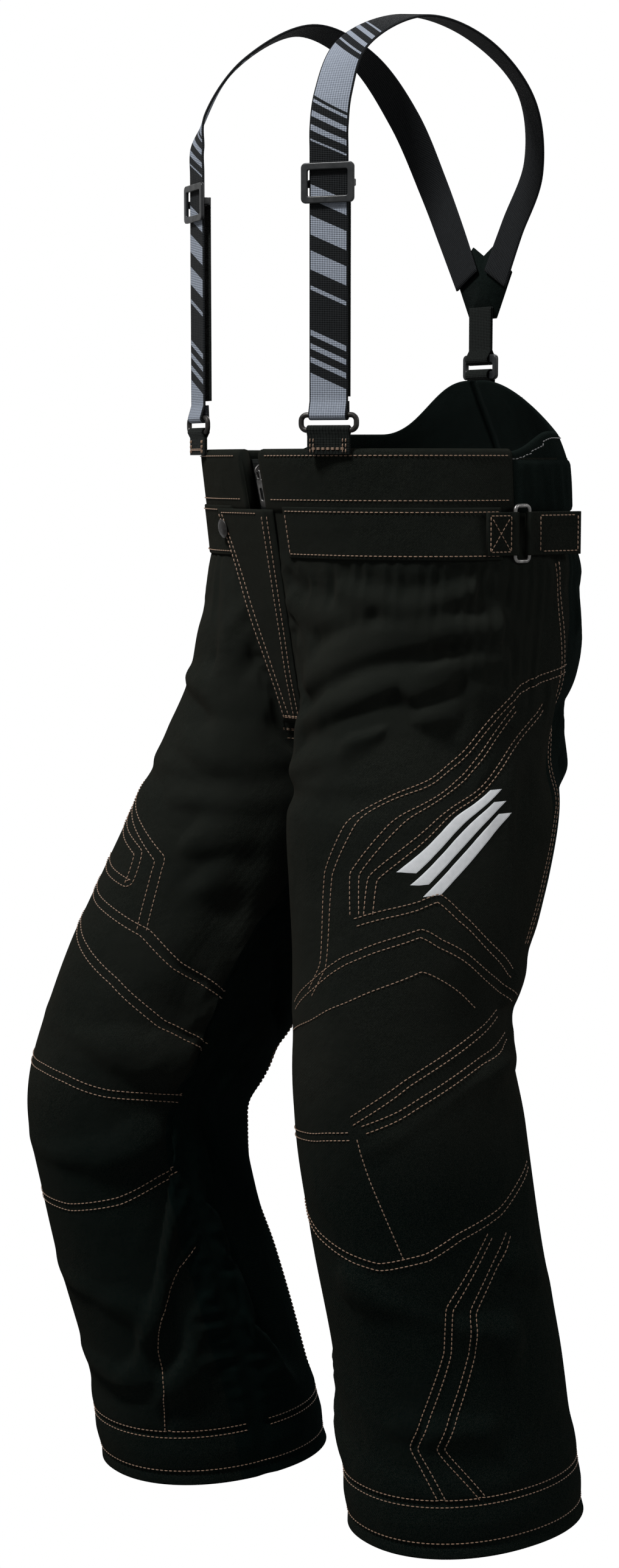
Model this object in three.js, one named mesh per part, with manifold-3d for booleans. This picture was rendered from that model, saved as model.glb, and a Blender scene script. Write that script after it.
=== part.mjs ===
// A child's insulated snow trousers with elastic suspenders, standing open as if worn.
// Millimetres, +Z up. The wearer faces -Y, so the wearer's left is +X.
// "Body" coordinates have x = 0 on the centre-front and centre-back seams.
// BODY_AXIS places them in the part's frame.
import * as THREE from "three";
import { mergeVertices } from "three/addons/utils/BufferGeometryUtils.js";
import Module from "manifold-3d";

const wasm = await Module();
wasm.setup();

// ---------------------------------------------------------------- driving dimensions
const BODY_AXIS = [11.5, 53.4]; // the body's vertical axis in the part's frame
const SEAM_GAP = 0.3; // between neighbouring pieces
const CROTCH_Z = 527; // where the two legs part
const FLY_FOOT_Z = 556; // where the fly ends
const BAND_Z = 720; // seam between the hip panels and the waistband
const WAIST_Z = 752; // top of the waistband
const HEM_Z = 40; // top of the hem band
const FLY_HALF_GAP = 11; // the front panels stop this far from the centre front

// Depths below the outer surface of each layer: [outer face, inner face].
const SHELL = [0, 2];
const INSULATION = [2.5, 5.5];
const LINING = [6, 7];
const KNEE_PAD = [9, 14];
const WAISTBAND = [-0.4, 8];
const YOKE = [0.5, 4];
const BELT = [-3, -1];

const BELT_Z = [684, 719];
const YOKE_RISE = 56;
const YOKE_LEAN = 0.5; // forward per unit of height
const ZIP_DEPTH = 8.6; // the zip's tapes, behind the front edge
const TOOTH_WIDTH = 5;
const TOOTH_DEPTH = 2.4;
const FLAP_Z = [567, 717];
const FLAP_THICKNESS = 2;
const FLAP_STAND = [0.6, 3.6]; // gap behind the flap at its sewn edge, and over the zip
const WAIST_RING_Y = 6;
const WAIST_RING_HALF = 6; // from the ring's middle to its front and rear wires
const RING_WIRE = 1.4;
const STRAP_WIDTH = 25;
const STRAP_THICKNESS = 1.8;
const STRAP_AT = [80, -108]; // the straight front length of the strap
const STRAP_TURN = (34 * Math.PI) / 180; // the straps face outwards by this much
const FRONT_RING_Z = 775;
const FRONT_RING_RISE = 10; // between the lower and upper wires of the front ring
const FRONT_WIRE = 1.8;
const ADJUSTER_Z = 930;
const SNAP_X = -42;
const SNAP_Z = 704;

// Sections of the seat and hips: height, centre y, half width, half depth.
const TORSO = [
  [524, -6, 24, 10],
  [536, -4, 84, 44],
  [556, 4, 118, 74],
  [591, 14, 136, 98],
  [636, 12, 143, 106],
  [681, 5, 141, 108],
  [711, 0, 137, 109],
  [752, -4, 133, 113],
];
// Sections of each leg: height, centre x, centre y, half width, half depth.
const LEGS = {
  left: [
    [0, 97, 2, 70, 88],
    [115, 92, -10, 70, 87],
    [204, 91, -29, 70, 86],
    [293, 92, -46, 71, 85],
    [380, 89, -52, 66, 78],
    [423, 85, -37, 70, 88],
    [466, 79, -25, 72, 97],
    [511, 74, -17, 70, 103],
    [561, 68, -10, 64, 98],
    [611, 62, -8, 58, 88],
    [671, 56, -6, 50, 78],
  ],
  right: [
    [0, -114, -76, 70, 88],
    [70, -116, -90, 70, 87],
    [157, -120, -114, 70, 86],
    [214, -121, -131, 68, 82],
    [271, -121, -142, 68, 82],
    [308, -118, -133, 72, 90],
    [354, -113, -113, 76, 97],
    [401, -106, -97, 76, 97],
    [447, -97, -77, 75, 98],
    [493, -86, -57, 74, 100],
    [538, -76, -40, 70, 102],
    [591, -67, -28, 62, 92],
    [636, -60, -22, 58, 92],
    [690, -54, -12, 50, 82],
  ],
};
const TORSO_SQUARENESS = 2.5; // superellipse exponents
const LEG_SQUARENESS = 2.15;
const BLEND = 16; // width of the smooth join between the sections

// Heights of the grid's rows, and the number of columns round one half.
const ROWS = [0, 40, 105, 170, 240, 285, 330, 375, 420, 465, 505, 527, 545, 565, 600, 640, 682, 720, 752];
const COLUMNS = 24;

// ---------------------------------------------------------------- the trousers' outer surface
const clamp = THREE.MathUtils.clamp;
const smooth = THREE.MathUtils.smoothstep;
const sideSign = { left: 1, right: -1 };

// Smooth interpolation down a table whose first column is the height.
function along(table, z) {
  const h = clamp(z, table[0][0], table.at(-1)[0]);
  let i = 0;
  while (i < table.length - 2 && h > table[i + 1][0]) i++;
  const slope = (k, c) => {
    const a = table[Math.max(k - 1, 0)];
    const b = table[Math.min(k + 1, table.length - 1)];
    return (b[c] - a[c]) / (b[0] - a[0]);
  };
  const step = table[i + 1][0] - table[i][0];
  const t = (h - table[i][0]) / step;
  return table[0].slice(1).map((_, k) => {
    const c = k + 1;
    return (
      (2 * t ** 3 - 3 * t ** 2 + 1) * table[i][c] +
      (t ** 3 - 2 * t ** 2 + t) * step * slope(i, c) +
      (3 * t ** 2 - 2 * t ** 3) * table[i + 1][c] +
      (t ** 3 - t ** 2) * step * slope(i + 1, c)
    );
  });
}

// Signed distance from a superellipse, measured along the ray from its centre.
function ovalDistance(x, y, a, b, n) {
  const e = (Math.abs(x / a) ** n + Math.abs(y / b) ** n) ** (1 / n);
  return Math.hypot(x, y) * (1 - 1 / Math.max(e, 1e-6));
}

function smoothMin(a, b) {
  const h = clamp(0.5 + (0.5 * (b - a)) / BLEND, 0, 1);
  return b * (1 - h) + a * h - BLEND * h * (1 - h);
}

// Negative inside the trousers, positive outside.
function field(x, y, z) {
  const [cy, a, b] = along(TORSO, z);
  let d = z < TORSO[0][0] ? 1000 : ovalDistance(x, y - cy, a, b, TORSO_SQUARENESS);
  for (const table of Object.values(LEGS)) {
    const [lx, ly, w, l] = along(table, z);
    const fade = 60 * clamp((z - table.at(-1)[0]) / 40, 0, 1);
    d = smoothMin(ovalDistance(x - lx, y - ly, w, l, LEG_SQUARENESS) + fade, d);
  }
  return d;
}

function fieldNormal(p) {
  const e = 0.5;
  const [x, y, z] = p;
  return new THREE.Vector3(
    field(x + e, y, z) - field(x - e, y, z),
    field(x, y + e, z) - field(x, y - e, z),
    field(x, y, z + e) - field(x, y, z - e),
  ).normalize();
}

// The point that each half's columns fan out from.
function pole(side, z) {
  const [lx, ly] = along(LEGS[side], z);
  const t = smooth(z, 500, 610);
  return [lx * (1 - t) + sideSign[side] * 55 * t, ly * (1 - t)];
}

function bisect(outside, inside, isInside) {
  for (let i = 0; i < 40; i++) {
    const middle = (outside + inside) / 2;
    if (isInside(middle)) inside = middle;
    else outside = middle;
  }
  return inside;
}

// Where the centre seam meets the outline in front (towards = -1) or behind (+1).
function seamY(side, z, towards, halfGap) {
  const start = along(TORSO, z)[0];
  return bisect(towards * 250, start, (y) => field(sideSign[side] * halfGap, y, z) < 0);
}

// The first and last angle of a half's columns, from the inside of the leg, round the front.
function fan(side, z) {
  const [px, py] = pole(side, z);
  const inward = Math.abs(px);
  const crotchTurn = (height) => {
    const [cx, cy] = pole(side, height);
    return Math.atan2(cy + 5, Math.abs(cx));
  };
  if (z <= CROTCH_Z) {
    const start = crotchTurn(CROTCH_Z) * smooth(z, CROTCH_Z - 150, CROTCH_Z);
    return [start, start + 2 * Math.PI];
  }
  const halfGap = z > FLY_FOOT_Z ? FLY_HALF_GAP : SEAM_GAP;
  const front = seamY(side, z, -1, halfGap);
  const back = seamY(side, z, 1, SEAM_GAP);
  return [
    Math.atan2(py - front, inward - halfGap),
    2 * Math.PI + Math.atan2(py - back, inward - SEAM_GAP),
  ];
}

// A point on one half. u runs from the inseam or centre front (0) round the outside
// to the inseam or centre back (1).
function surfacePoint(side, u, z, depth = 0) {
  const s = sideSign[side];
  const [px, py] = pole(side, z);
  const [first, last] = fan(side, z);
  const angle = first + u * (last - first);
  const dx = -s * Math.cos(angle);
  const dy = -Math.sin(angle);
  const isInside = (r) => field(px + r * dx, py + r * dy, z) < 0;
  const limit = s * dx < 0 ? Math.min(260, (s * px - SEAM_GAP) / (-s * dx)) : 260;
  const onSeam = isInside(limit);
  const radius = onSeam ? limit : bisect(limit, 1, isInside);
  const p = [px + radius * dx, py + radius * dy, z];
  const n = onSeam ? new THREE.Vector3(-s, 0, 0) : fieldNormal(p);
  return new THREE.Vector3(...p).addScaledVector(n, -depth);
}

// ---------------------------------------------------------------- geometry helpers
const garment = new THREE.Group();
garment.position.set(BODY_AXIS[0], BODY_AXIS[1], 0);

const FINISHES = {
  shell: [0x26221f, 0.85, 0],
  shell_dark: [0x151a19, 0.85, 0],
  lining: [0x121413, 0.6, 0],
  insulation: [0xd8d8d2, 0.95, 0],
  foam: [0x6b6f72, 0.9, 0],
  webbing: [0x111413, 0.8, 0],
  print: [0x5c6672, 0.75, 0],
  plastic: [0x14171a, 0.4, 0],
  metal: [0x8d8781, 0.35, 1],
};

function addMesh(parent, name, geometry, finish) {
  const [color, roughness, metalness] = FINISHES[finish];
  const mesh = new THREE.Mesh(geometry, new THREE.MeshStandardMaterial({ color, roughness, metalness }));
  mesh.name = name;
  parent.add(mesh);
  return mesh;
}

// A closed solid between two equal grids of points, [row][column]. wrap joins the last column to the first.
function sheetSolid(outer, inner, wrap = false) {
  const rows = outer.length;
  const columns = outer[0].length;
  const positions = [...outer.flat(), ...inner.flat()].flatMap((p) => [p.x, p.y, p.z]);
  const at = (layer, i, j) => layer * rows * columns + i * columns + (j % columns);
  const triangles = [];
  const quad = (a, b, c, d) => triangles.push([a, b, c], [a, c, d]);
  const steps = wrap ? columns : columns - 1;
  for (let i = 0; i < rows - 1; i++) {
    for (let j = 0; j < steps; j++) {
      quad(at(0, i, j), at(0, i, j + 1), at(0, i + 1, j + 1), at(0, i + 1, j));
      quad(at(1, i, j), at(1, i + 1, j), at(1, i + 1, j + 1), at(1, i, j + 1));
    }
    if (!wrap) {
      quad(at(0, i, 0), at(0, i + 1, 0), at(1, i + 1, 0), at(1, i, 0));
      const last = columns - 1;
      quad(at(0, i + 1, last), at(0, i, last), at(1, i, last), at(1, i + 1, last));
    }
  }
  for (let j = 0; j < steps; j++) {
    quad(at(0, 0, j + 1), at(0, 0, j), at(1, 0, j), at(1, 0, j + 1));
    const top = rows - 1;
    quad(at(0, top, j), at(0, top, j + 1), at(1, top, j + 1), at(1, top, j));
  }
  const corner = (k) => new THREE.Vector3(...positions.slice(3 * k, 3 * k + 3));
  const volume = triangles.reduce((sum, [a, b, c]) => sum + corner(a).dot(corner(b).cross(corner(c))), 0);
  if (volume < 0) triangles.forEach((t) => t.reverse());
  const geometry = new THREE.BufferGeometry();
  geometry.setAttribute("position", new THREE.Float32BufferAttribute(positions, 3));
  geometry.setIndex(triangles.flat());
  return geometry;
}

// A flat band along a list of stations {at, across, thickness direction}.
function ribbon(stations, width, thickness) {
  const edge = (k) =>
    stations.map(({ at, across, out }) =>
      [-1, 1].map((e) =>
        at.clone().addScaledVector(across, (e * width) / 2).addScaledVector(out, (k * thickness) / 2),
      ),
    );
  return sheetSolid(edge(1), edge(-1));
}

// A closed rounded rectangle of round wire in the XZ plane.
function wireLoop(width, height, corner, wire) {
  const SIDES = 6;
  const PER_CORNER = 3;
  const outer = [];
  const centres = [[1, 1], [-1, 1], [-1, -1], [1, -1]];
  centres.forEach(([sx, sz], q) => {
    for (let k = 0; k <= PER_CORNER; k++) {
      const turn = ((q + k / PER_CORNER) * Math.PI) / 2;
      const out = new THREE.Vector3(Math.cos(turn), 0, Math.sin(turn));
      const middle = new THREE.Vector3(sx * (width / 2 - corner), 0, sz * (height / 2 - corner));
      middle.addScaledVector(out, corner);
      outer.push({ middle, out });
    }
  });
  const positions = [];
  for (const { middle, out } of outer) {
    for (let k = 0; k < SIDES; k++) {
      const a = (2 * Math.PI * k) / SIDES;
      positions.push(
        middle.x + wire * Math.cos(a) * out.x,
        wire * Math.sin(a),
        middle.z + wire * Math.cos(a) * out.z,
      );
    }
  }
  const index = [];
  const n = outer.length;
  for (let i = 0; i < n; i++) {
    for (let k = 0; k < SIDES; k++) {
      const a = i * SIDES + k;
      const b = ((i + 1) % n) * SIDES + k;
      const c = ((i + 1) % n) * SIDES + ((k + 1) % SIDES);
      const d = i * SIDES + ((k + 1) % SIDES);
      index.push(a, c, b, a, d, c);
    }
  }
  const geometry = new THREE.BufferGeometry();
  geometry.setAttribute("position", new THREE.Float32BufferAttribute(positions, 3));
  geometry.setIndex(index);
  return geometry;
}

function extrude(shape, depth, curveSegments = 8) {
  return new THREE.ExtrudeGeometry(shape, { depth, bevelEnabled: false, curveSegments });
}

// A webbing end sewn round a bar along X at the origin: an eye, with a doubled leg hanging down -Z.
function eyeStrip(width, leg, halfThickness, eyeRadius) {
  const outside = eyeRadius + halfThickness;
  const turn = Math.asin(halfThickness / outside);
  const shape = new THREE.Shape();
  shape.moveTo(-halfThickness, -leg);
  shape.lineTo(halfThickness, -leg);
  shape.absarc(0, 0, outside, -Math.PI / 2 + turn, (3 * Math.PI) / 2 - turn, false);
  shape.closePath();
  const eye = new THREE.Path();
  eye.absarc(0, 0, eyeRadius, 0, 2 * Math.PI, true);
  shape.holes.push(eye);
  const geometry = extrude(shape, width, 7);
  geometry.translate(0, 0, -width / 2);
  geometry.applyMatrix4(new THREE.Matrix4().makeBasis(
    new THREE.Vector3(0, 1, 0),
    new THREE.Vector3(0, 0, 1),
    new THREE.Vector3(1, 0, 0),
  ));
  return geometry;
}

function roundedRectangle(width, height, radius, PathType = THREE.Shape) {
  const path = new PathType();
  const x = width / 2;
  const y = height / 2;
  path.moveTo(-x + radius, -y);
  path.lineTo(x - radius, -y);
  path.absarc(x - radius, -y + radius, radius, -Math.PI / 2, 0, false);
  path.absarc(x - radius, y - radius, radius, 0, Math.PI / 2, false);
  path.absarc(-x + radius, y - radius, radius, Math.PI / 2, Math.PI, false);
  path.absarc(-x + radius, -y + radius, radius, Math.PI, 1.5 * Math.PI, false);
  return path;
}

function solidOf(geometry) {
  const bare = geometry.index ? geometry.toNonIndexed() : geometry.clone();
  bare.deleteAttribute("normal");
  bare.deleteAttribute("uv");
  const merged = mergeVertices(bare, 1e-4);
  return new wasm.Manifold(new wasm.Mesh({
    numProp: 3,
    vertProperties: new Float32Array(merged.attributes.position.array),
    triVerts: new Uint32Array(merged.index.array),
  }));
}

function geometryOf(solid) {
  const mesh = solid.getMesh();
  const geometry = new THREE.BufferGeometry();
  geometry.setAttribute("position", new THREE.BufferAttribute(new Float32Array(mesh.vertProperties), 3));
  geometry.setIndex([...mesh.triVerts]);
  return geometry;
}

function joined(...geometries) {
  return geometryOf(geometries.map(solidOf).reduce((a, b) => a.add(b)));
}

function box(x0, x1, y0, y1, z0, z1) {
  const geometry = new THREE.BoxGeometry(x1 - x0, y1 - y0, z1 - z0);
  return geometry.translate((x0 + x1) / 2, (y0 + y1) / 2, (z0 + z1) / 2);
}

// ---------------------------------------------------------------- cloth panels
const EDGE = 0.014; // half of a vertical seam's gap, in columns

// The columns and rows of a patch: its ends, and the grid lines between them.
function gridLines([start, end], lines) {
  return [start, ...lines.filter((v) => v > start && v < end), end];
}

// A patch of one half between two columns and two heights.
function panel(side, [u0, u1], [z0, z1], [outerDepth, innerDepth]) {
  const every = [...Array(COLUMNS + 1).keys()];
  const columns = gridLines([u0 + EDGE, u1 - EDGE], every);
  const heights = gridLines([z0 + SEAM_GAP / 2, z1 - SEAM_GAP / 2], ROWS);
  const grid = (depth) => heights.map((z) => columns.map((u) => surfacePoint(side, u / COLUMNS, z, depth)));
  return sheetSolid(grid(outerDepth), grid(innerDepth));
}

const HIP_Z = [565, BAND_Z];
const THIGH_Z = [420, 565];
const KNEE_Z = [330, 420];
const UNDER_KNEE_Z = [240, 330];
const SHIN_Z = [HEM_Z, 240];
const SIDES = ["left", "right"];

for (const side of SIDES) {
  const add = (name, columns, heights, depths, finish) =>
    addMesh(garment, `${side}_${name}`, panel(side, columns, heights, depths), finish);
  add("front_hip_panel", [0, 12], HIP_Z, SHELL, "shell");
  add("front_thigh_panel", [0, 7], THIGH_Z, SHELL, "shell");
  add("thigh_inset_panel", [7, 12], THIGH_Z, SHELL, "shell");
  add("knee_panel", [0, 12], KNEE_Z, SHELL, "shell");
  add("under_knee_panel", [0, 12], UNDER_KNEE_Z, SHELL, "shell_dark");
  add("shin_panel", [0, 12], SHIN_Z, SHELL, "shell_dark");
  add("back_upper_panel", [12, 24], [KNEE_Z[0], BAND_Z], SHELL, "shell_dark");
  add("back_calf_panel", [12, 24], [HEM_Z, KNEE_Z[0]], SHELL, "shell_dark");
  add("insulation", [0, 24], [45, 715], INSULATION, "insulation");
  add("lining", [0, 24], [12, 717], LINING, "lining");
  add("knee_pad", [2, 10], [285, 420], KNEE_PAD, "foam");
  add("front_waistband", [0, 12], [BAND_Z, WAIST_Z], WAISTBAND, "shell");
  add("waist_belt_strip", [1.9, 9.4], BELT_Z, BELT, "shell");
  addHemBand(side);
}

// A closed ring round the ankle, whose lower edge is flat on the floor.
function addHemBand(side) {
  const rings = (depth) => [0, HEM_Z - SEAM_GAP / 2].map((z) => {
    const points = [];
    for (let k = 0; k < COLUMNS; k++) {
      const p = surfacePoint(side, k / COLUMNS, z, depth);
      if (z === 0) p.z = 0;
      points.push(p);
    }
    return points;
  });
  addMesh(garment, `${side}_hem_band`, sheetSolid(rings(SHELL[0]), rings(SHELL[1]), true), "shell_dark");
}

// Points round the back from the left side seam to the right one, as {side, u}.
const BACK_COLUMNS = [];
for (let k = 12; k <= 23; k++) BACK_COLUMNS.push({ side: "left", u: k + (k === 12 ? EDGE : 0) });
for (let k = 23; k >= 12; k--) BACK_COLUMNS.push({ side: "right", u: k + (k === 12 ? EDGE : 0) });

function backGrid(depth, heightsAt, lean) {
  const rows = heightsAt(BACK_COLUMNS[0]).length;
  return [...Array(rows).keys()].map((i) => BACK_COLUMNS.map((column) => {
    const z = heightsAt(column)[i];
    const p = surfacePoint(column.side, column.u / COLUMNS, Math.min(z, WAIST_Z), depth);
    p.z = z;
    p.y -= lean * Math.max(z - WAIST_Z, 0);
    return p;
  }));
}

const bandHeights = () => [BAND_Z + SEAM_GAP / 2, WAIST_Z - SEAM_GAP / 2];
addMesh(garment, "back_waistband",
  sheetSolid(backGrid(WAISTBAND[0], bandHeights, 0), backGrid(WAISTBAND[1], bandHeights, 0)), "shell_dark");

// The back yoke rises from nothing at the side seams to YOKE_RISE at the centre back, leaning forward.
function yokeHeights({ u }) {
  const t = (u - 12) / 12;
  const rise = 4 + 14 * smooth(t, 0, 0.35) + (YOKE_RISE - 18) * smooth(t, 0.5, 0.97);
  const foot = WAIST_Z + SEAM_GAP / 2;
  return [foot, foot + rise / 2, foot + rise];
}
const [yokeOuter, yokeInner] = YOKE.map((depth) => backGrid(depth, yokeHeights, YOKE_LEAN));
addMesh(garment, "back_yoke", sheetSolid(yokeOuter, yokeInner), "shell_dark");

// ---------------------------------------------------------------- fly
// Everything of the zip stands in a frame whose Z runs up the line of the centre front, with -Y facing out.
const flyTop = seamY("left", WAIST_Z, -1, FLY_HALF_GAP);
const flyFoot = seamY("left", FLY_FOOT_Z, -1, FLY_HALF_GAP);
const FLY_LENGTH = Math.hypot(WAIST_Z - FLY_FOOT_Z, flyTop - flyFoot);
const fly = new THREE.Group();
fly.position.set(0, flyTop, WAIST_Z);
fly.rotation.x = Math.atan2(flyFoot - flyTop, WAIST_Z - FLY_FOOT_Z);
garment.add(fly);

for (const side of SIDES) {
  const s = sideSign[side];
  const [x0, x1] = [TOOTH_WIDTH / 2 + SEAM_GAP, 20].map((x) => s * x).sort((a, b) => a - b);
  addMesh(fly, `zip_tape_${side}`, box(x0, x1, ZIP_DEPTH, ZIP_DEPTH + 0.8, -FLY_LENGTH + 8, -3), "webbing");
}

// The closed teeth: a bar with a notch at each side between neighbouring teeth.
function teethGeometry() {
  const half = TOOTH_WIDTH / 2;
  const count = 28;
  const pitch = (FLY_LENGTH - 16) / count;
  const corners = [];
  for (let i = 0; i < count; i++) {
    const z = -FLY_LENGTH + 12 + i * pitch;
    corners.push([half, z], [half, z + 0.6 * pitch], [half - 1.2, z + 0.6 * pitch], [half - 1.2, z + pitch]);
  }
  const mirrored = corners.map(([x, z]) => [-x, z]).reverse();
  const shape = new THREE.Shape([...corners, ...mirrored].map(([x, z]) => new THREE.Vector2(x, z)));
  const geometry = extrude(shape, TOOTH_DEPTH);
  geometry.rotateX(Math.PI / 2);
  return geometry;
}
const teeth = teethGeometry();
teeth.translate(0, ZIP_DEPTH + 0.4 + TOOTH_DEPTH / 2, 0);
addMesh(fly, "zip_teeth", teeth, "plastic");
const zipFront = ZIP_DEPTH + 0.4 - TOOTH_DEPTH / 2;
const stopFoot = -FLY_LENGTH + 8;
const stop = box(-5, 5, zipFront - 1, ZIP_DEPTH - 0.3, stopFoot, stopFoot + 3.7);
addMesh(fly, "zip_bottom_stop", stop, "metal");

const slider = new THREE.Group();
slider.position.set(0, zipFront - 0.3, -14);
fly.add(slider);
// The slider: a front plate, a lip either side of the teeth and a bail standing along its middle.
const LIP_X = TOOTH_WIDTH / 2 + 0.3;
addMesh(slider, "zip_slider", joined(
  box(-5.2, 5.2, -1.8, 0, -8, 8),
  box(-5.2, -LIP_X, -1, 0.7, -8, 8),
  box(LIP_X, 5.2, -1, 0.7, -8, 8),
  box(-0.9, 0.9, -5.2, -1, 0, 1.2),
  box(-0.9, 0.9, -5.2, -1, 6.8, 8),
  box(-0.9, 0.9, -6.4, -5.1, 0, 8),
), "metal");
// The pull: two arms past the bail, a cross bar through it and a slotted tongue hanging below.
const pullShape = roundedRectangle(7, 20.6, 2.4);
pullShape.holes.push(roundedRectangle(3, 9, 1.2, THREE.Path));
const tongue = extrude(pullShape, 1.4, 3);
tongue.rotateX(Math.PI / 2);
tongue.translate(0, -2.7, -11.5);
const crossBar = box(-2.9, 2.9, -4.1, -2.7, 3.3, 4.7);
const arm = (e) => box(2.2 * e - 0.7, 2.2 * e + 0.7, -4.1, -2.7, -2.4, 4.7);
addMesh(slider, "zip_pull", joined(tongue, crossBar, arm(-1), arm(1)), "metal");

// The flap is sewn to the left front and lies over the zip.
function frontY(x, z) {
  return bisect(-250, along(TORSO, z)[0], (y) => field(x, y, z) < 0);
}
function flapPoint(t, z, lift) {
  const h = (z - FLAP_Z[0]) / (FLAP_Z[1] - FLAP_Z[0]);
  const sewn = 12 + 7 * h;
  const free = -8 - 44 * h ** 1.6;
  const x = sewn + t * (free - sewn);
  const stand = FLAP_STAND[0] + (FLAP_STAND[1] - FLAP_STAND[0]) * smooth(sewn - x, 0, 9);
  return new THREE.Vector3(x, frontY(x, z) - stand - lift, z);
}
const flapRows = gridLines(FLAP_Z, ROWS);
const flapSteps = [0, 0.12, 0.24, 0.4, 0.55, 0.7, 0.85, 1];
const flapGrid = (lift) => flapRows.map((z) => flapSteps.map((t) => flapPoint(t, z, lift)));
addMesh(garment, "fly_flap", sheetSolid(flapGrid(FLAP_THICKNESS), flapGrid(0)), "shell");

const snapAt = [SNAP_X, frontY(SNAP_X, SNAP_Z), SNAP_Z];
const snap = new THREE.Group();
snap.position.set(...snapAt);
snap.quaternion.setFromUnitVectors(new THREE.Vector3(0, -1, 0), fieldNormal(snapAt));
garment.add(snap);

// A turned piece about the snap's axis; profile points are [radius, height out from the shell].
function snapPiece(name, profile) {
  const points = profile.map(([r, h]) => new THREE.Vector2(r, h));
  addMesh(snap, name, new THREE.LatheGeometry(points, 20).rotateX(Math.PI), "metal");
}
snapPiece("snap_stud", [[0, 0.7], [4.6, 0.7], [4.6, 1.2], [1.8, 1.4], [1.6, 1.8], [0, 1.9]]);
snapPiece("snap_socket", [[0, 2.2], [5.4, 2.2], [5.4, 3], [0, 3]]);
snapPiece("snap_cap", [[0, 6.1], [6.8, 6.1], [6.8, 6.9], [6, 7.9], [3.5, 8.5], [0, 8.6]]);

// ---------------------------------------------------------------- side waist adjusters

// Bars of a loop stand upright here, so a strip's eye turns about Z and its leg runs along Y.
function uprightStrip(width, leg, direction) {
  const geometry = eyeStrip(width, leg, 1, RING_WIRE + 0.4);
  const basis = new THREE.Matrix4().makeBasis(
    new THREE.Vector3(0, 0, direction),
    new THREE.Vector3(1, 0, 0),
    new THREE.Vector3(0, direction, 0),
  );
  geometry.applyMatrix4(basis);
  return geometry;
}

for (const side of SIDES) {
  const s = sideSign[side];
  const z = (BELT_Z[0] + BELT_Z[1]) / 2;
  const reach = bisect(250, 20, (x) => field(s * x, WAIST_RING_Y, z) < 0);
  const group = new THREE.Group();
  group.position.set(s * (reach + 5.2), WAIST_RING_Y, z);
  garment.add(group);
  const ring = wireLoop(2 * WAIST_RING_HALF, 37, 3, RING_WIRE).rotateZ(Math.PI / 2);
  addMesh(group, `${side}_waist_ring`, ring, "metal");
  const front = uprightStrip(30, 23, 1);
  front.translate(0, -WAIST_RING_HALF, 0);
  addMesh(group, `${side}_ring_tab`, front, "webbing");
  const back = uprightStrip(30, 44, -1);
  back.translate(0, WAIST_RING_HALF, 0);
  addMesh(group, `${side}_waist_tab`, back, "shell_dark");
}

// ---------------------------------------------------------------- suspenders
// A smooth band through control points [x, y, z, outward x, y, z].
function strapBand(controls, count, width, thickness) {
  const curve = (first) => new THREE.CatmullRomCurve3(
    controls.map((control) => new THREE.Vector3(...control.slice(first, first + 3))),
    false,
    "centripetal",
  );
  const path = curve(0);
  const outward = curve(3);
  const stations = [...Array(count + 1).keys()].map((i) => {
    const t = i / count;
    const tangent = path.getTangent(t);
    const across = tangent.clone().cross(outward.getPoint(t)).normalize();
    return { at: path.getPoint(t), across, out: across.clone().cross(tangent).normalize() };
  });
  return ribbon(stations, width, thickness);
}

const STRAP_END_Z = FRONT_RING_Z + FRONT_RING_RISE / 2;
const FRONT_OUT = [Math.sin(STRAP_TURN), -Math.cos(STRAP_TURN), 0];
// From the straight front length, over the shoulder and down to the crossing patch, wearer's left side.
const SHOULDER = {
  left: [
    [79, -104, 988], [77, -88, 1020], [75, -36, 1044], [73, 22, 1034],
    [71, 66, 1000], [58, 84, 954], [35, 84, 914], [16, 84, 880],
  ],
  right: [
    [78, -103, 988], [71, -80, 1025], [60, -30, 1053], [60, 20, 1038],
    [61, 60, 998], [54, 82, 950], [35, 84, 914], [16, 84, 880],
  ],
};
const SHOULDER_OUT = [
  [0.5, -0.8, 0.3], [0.35, -0.75, 0.6], [0.15, -0.1, 1], [0.2, 0.45, 0.9],
  [0.35, 0.85, 0.5], [0.25, 1, 0.2], [0.1, 1, 0], [0, 1, 0],
];

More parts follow.
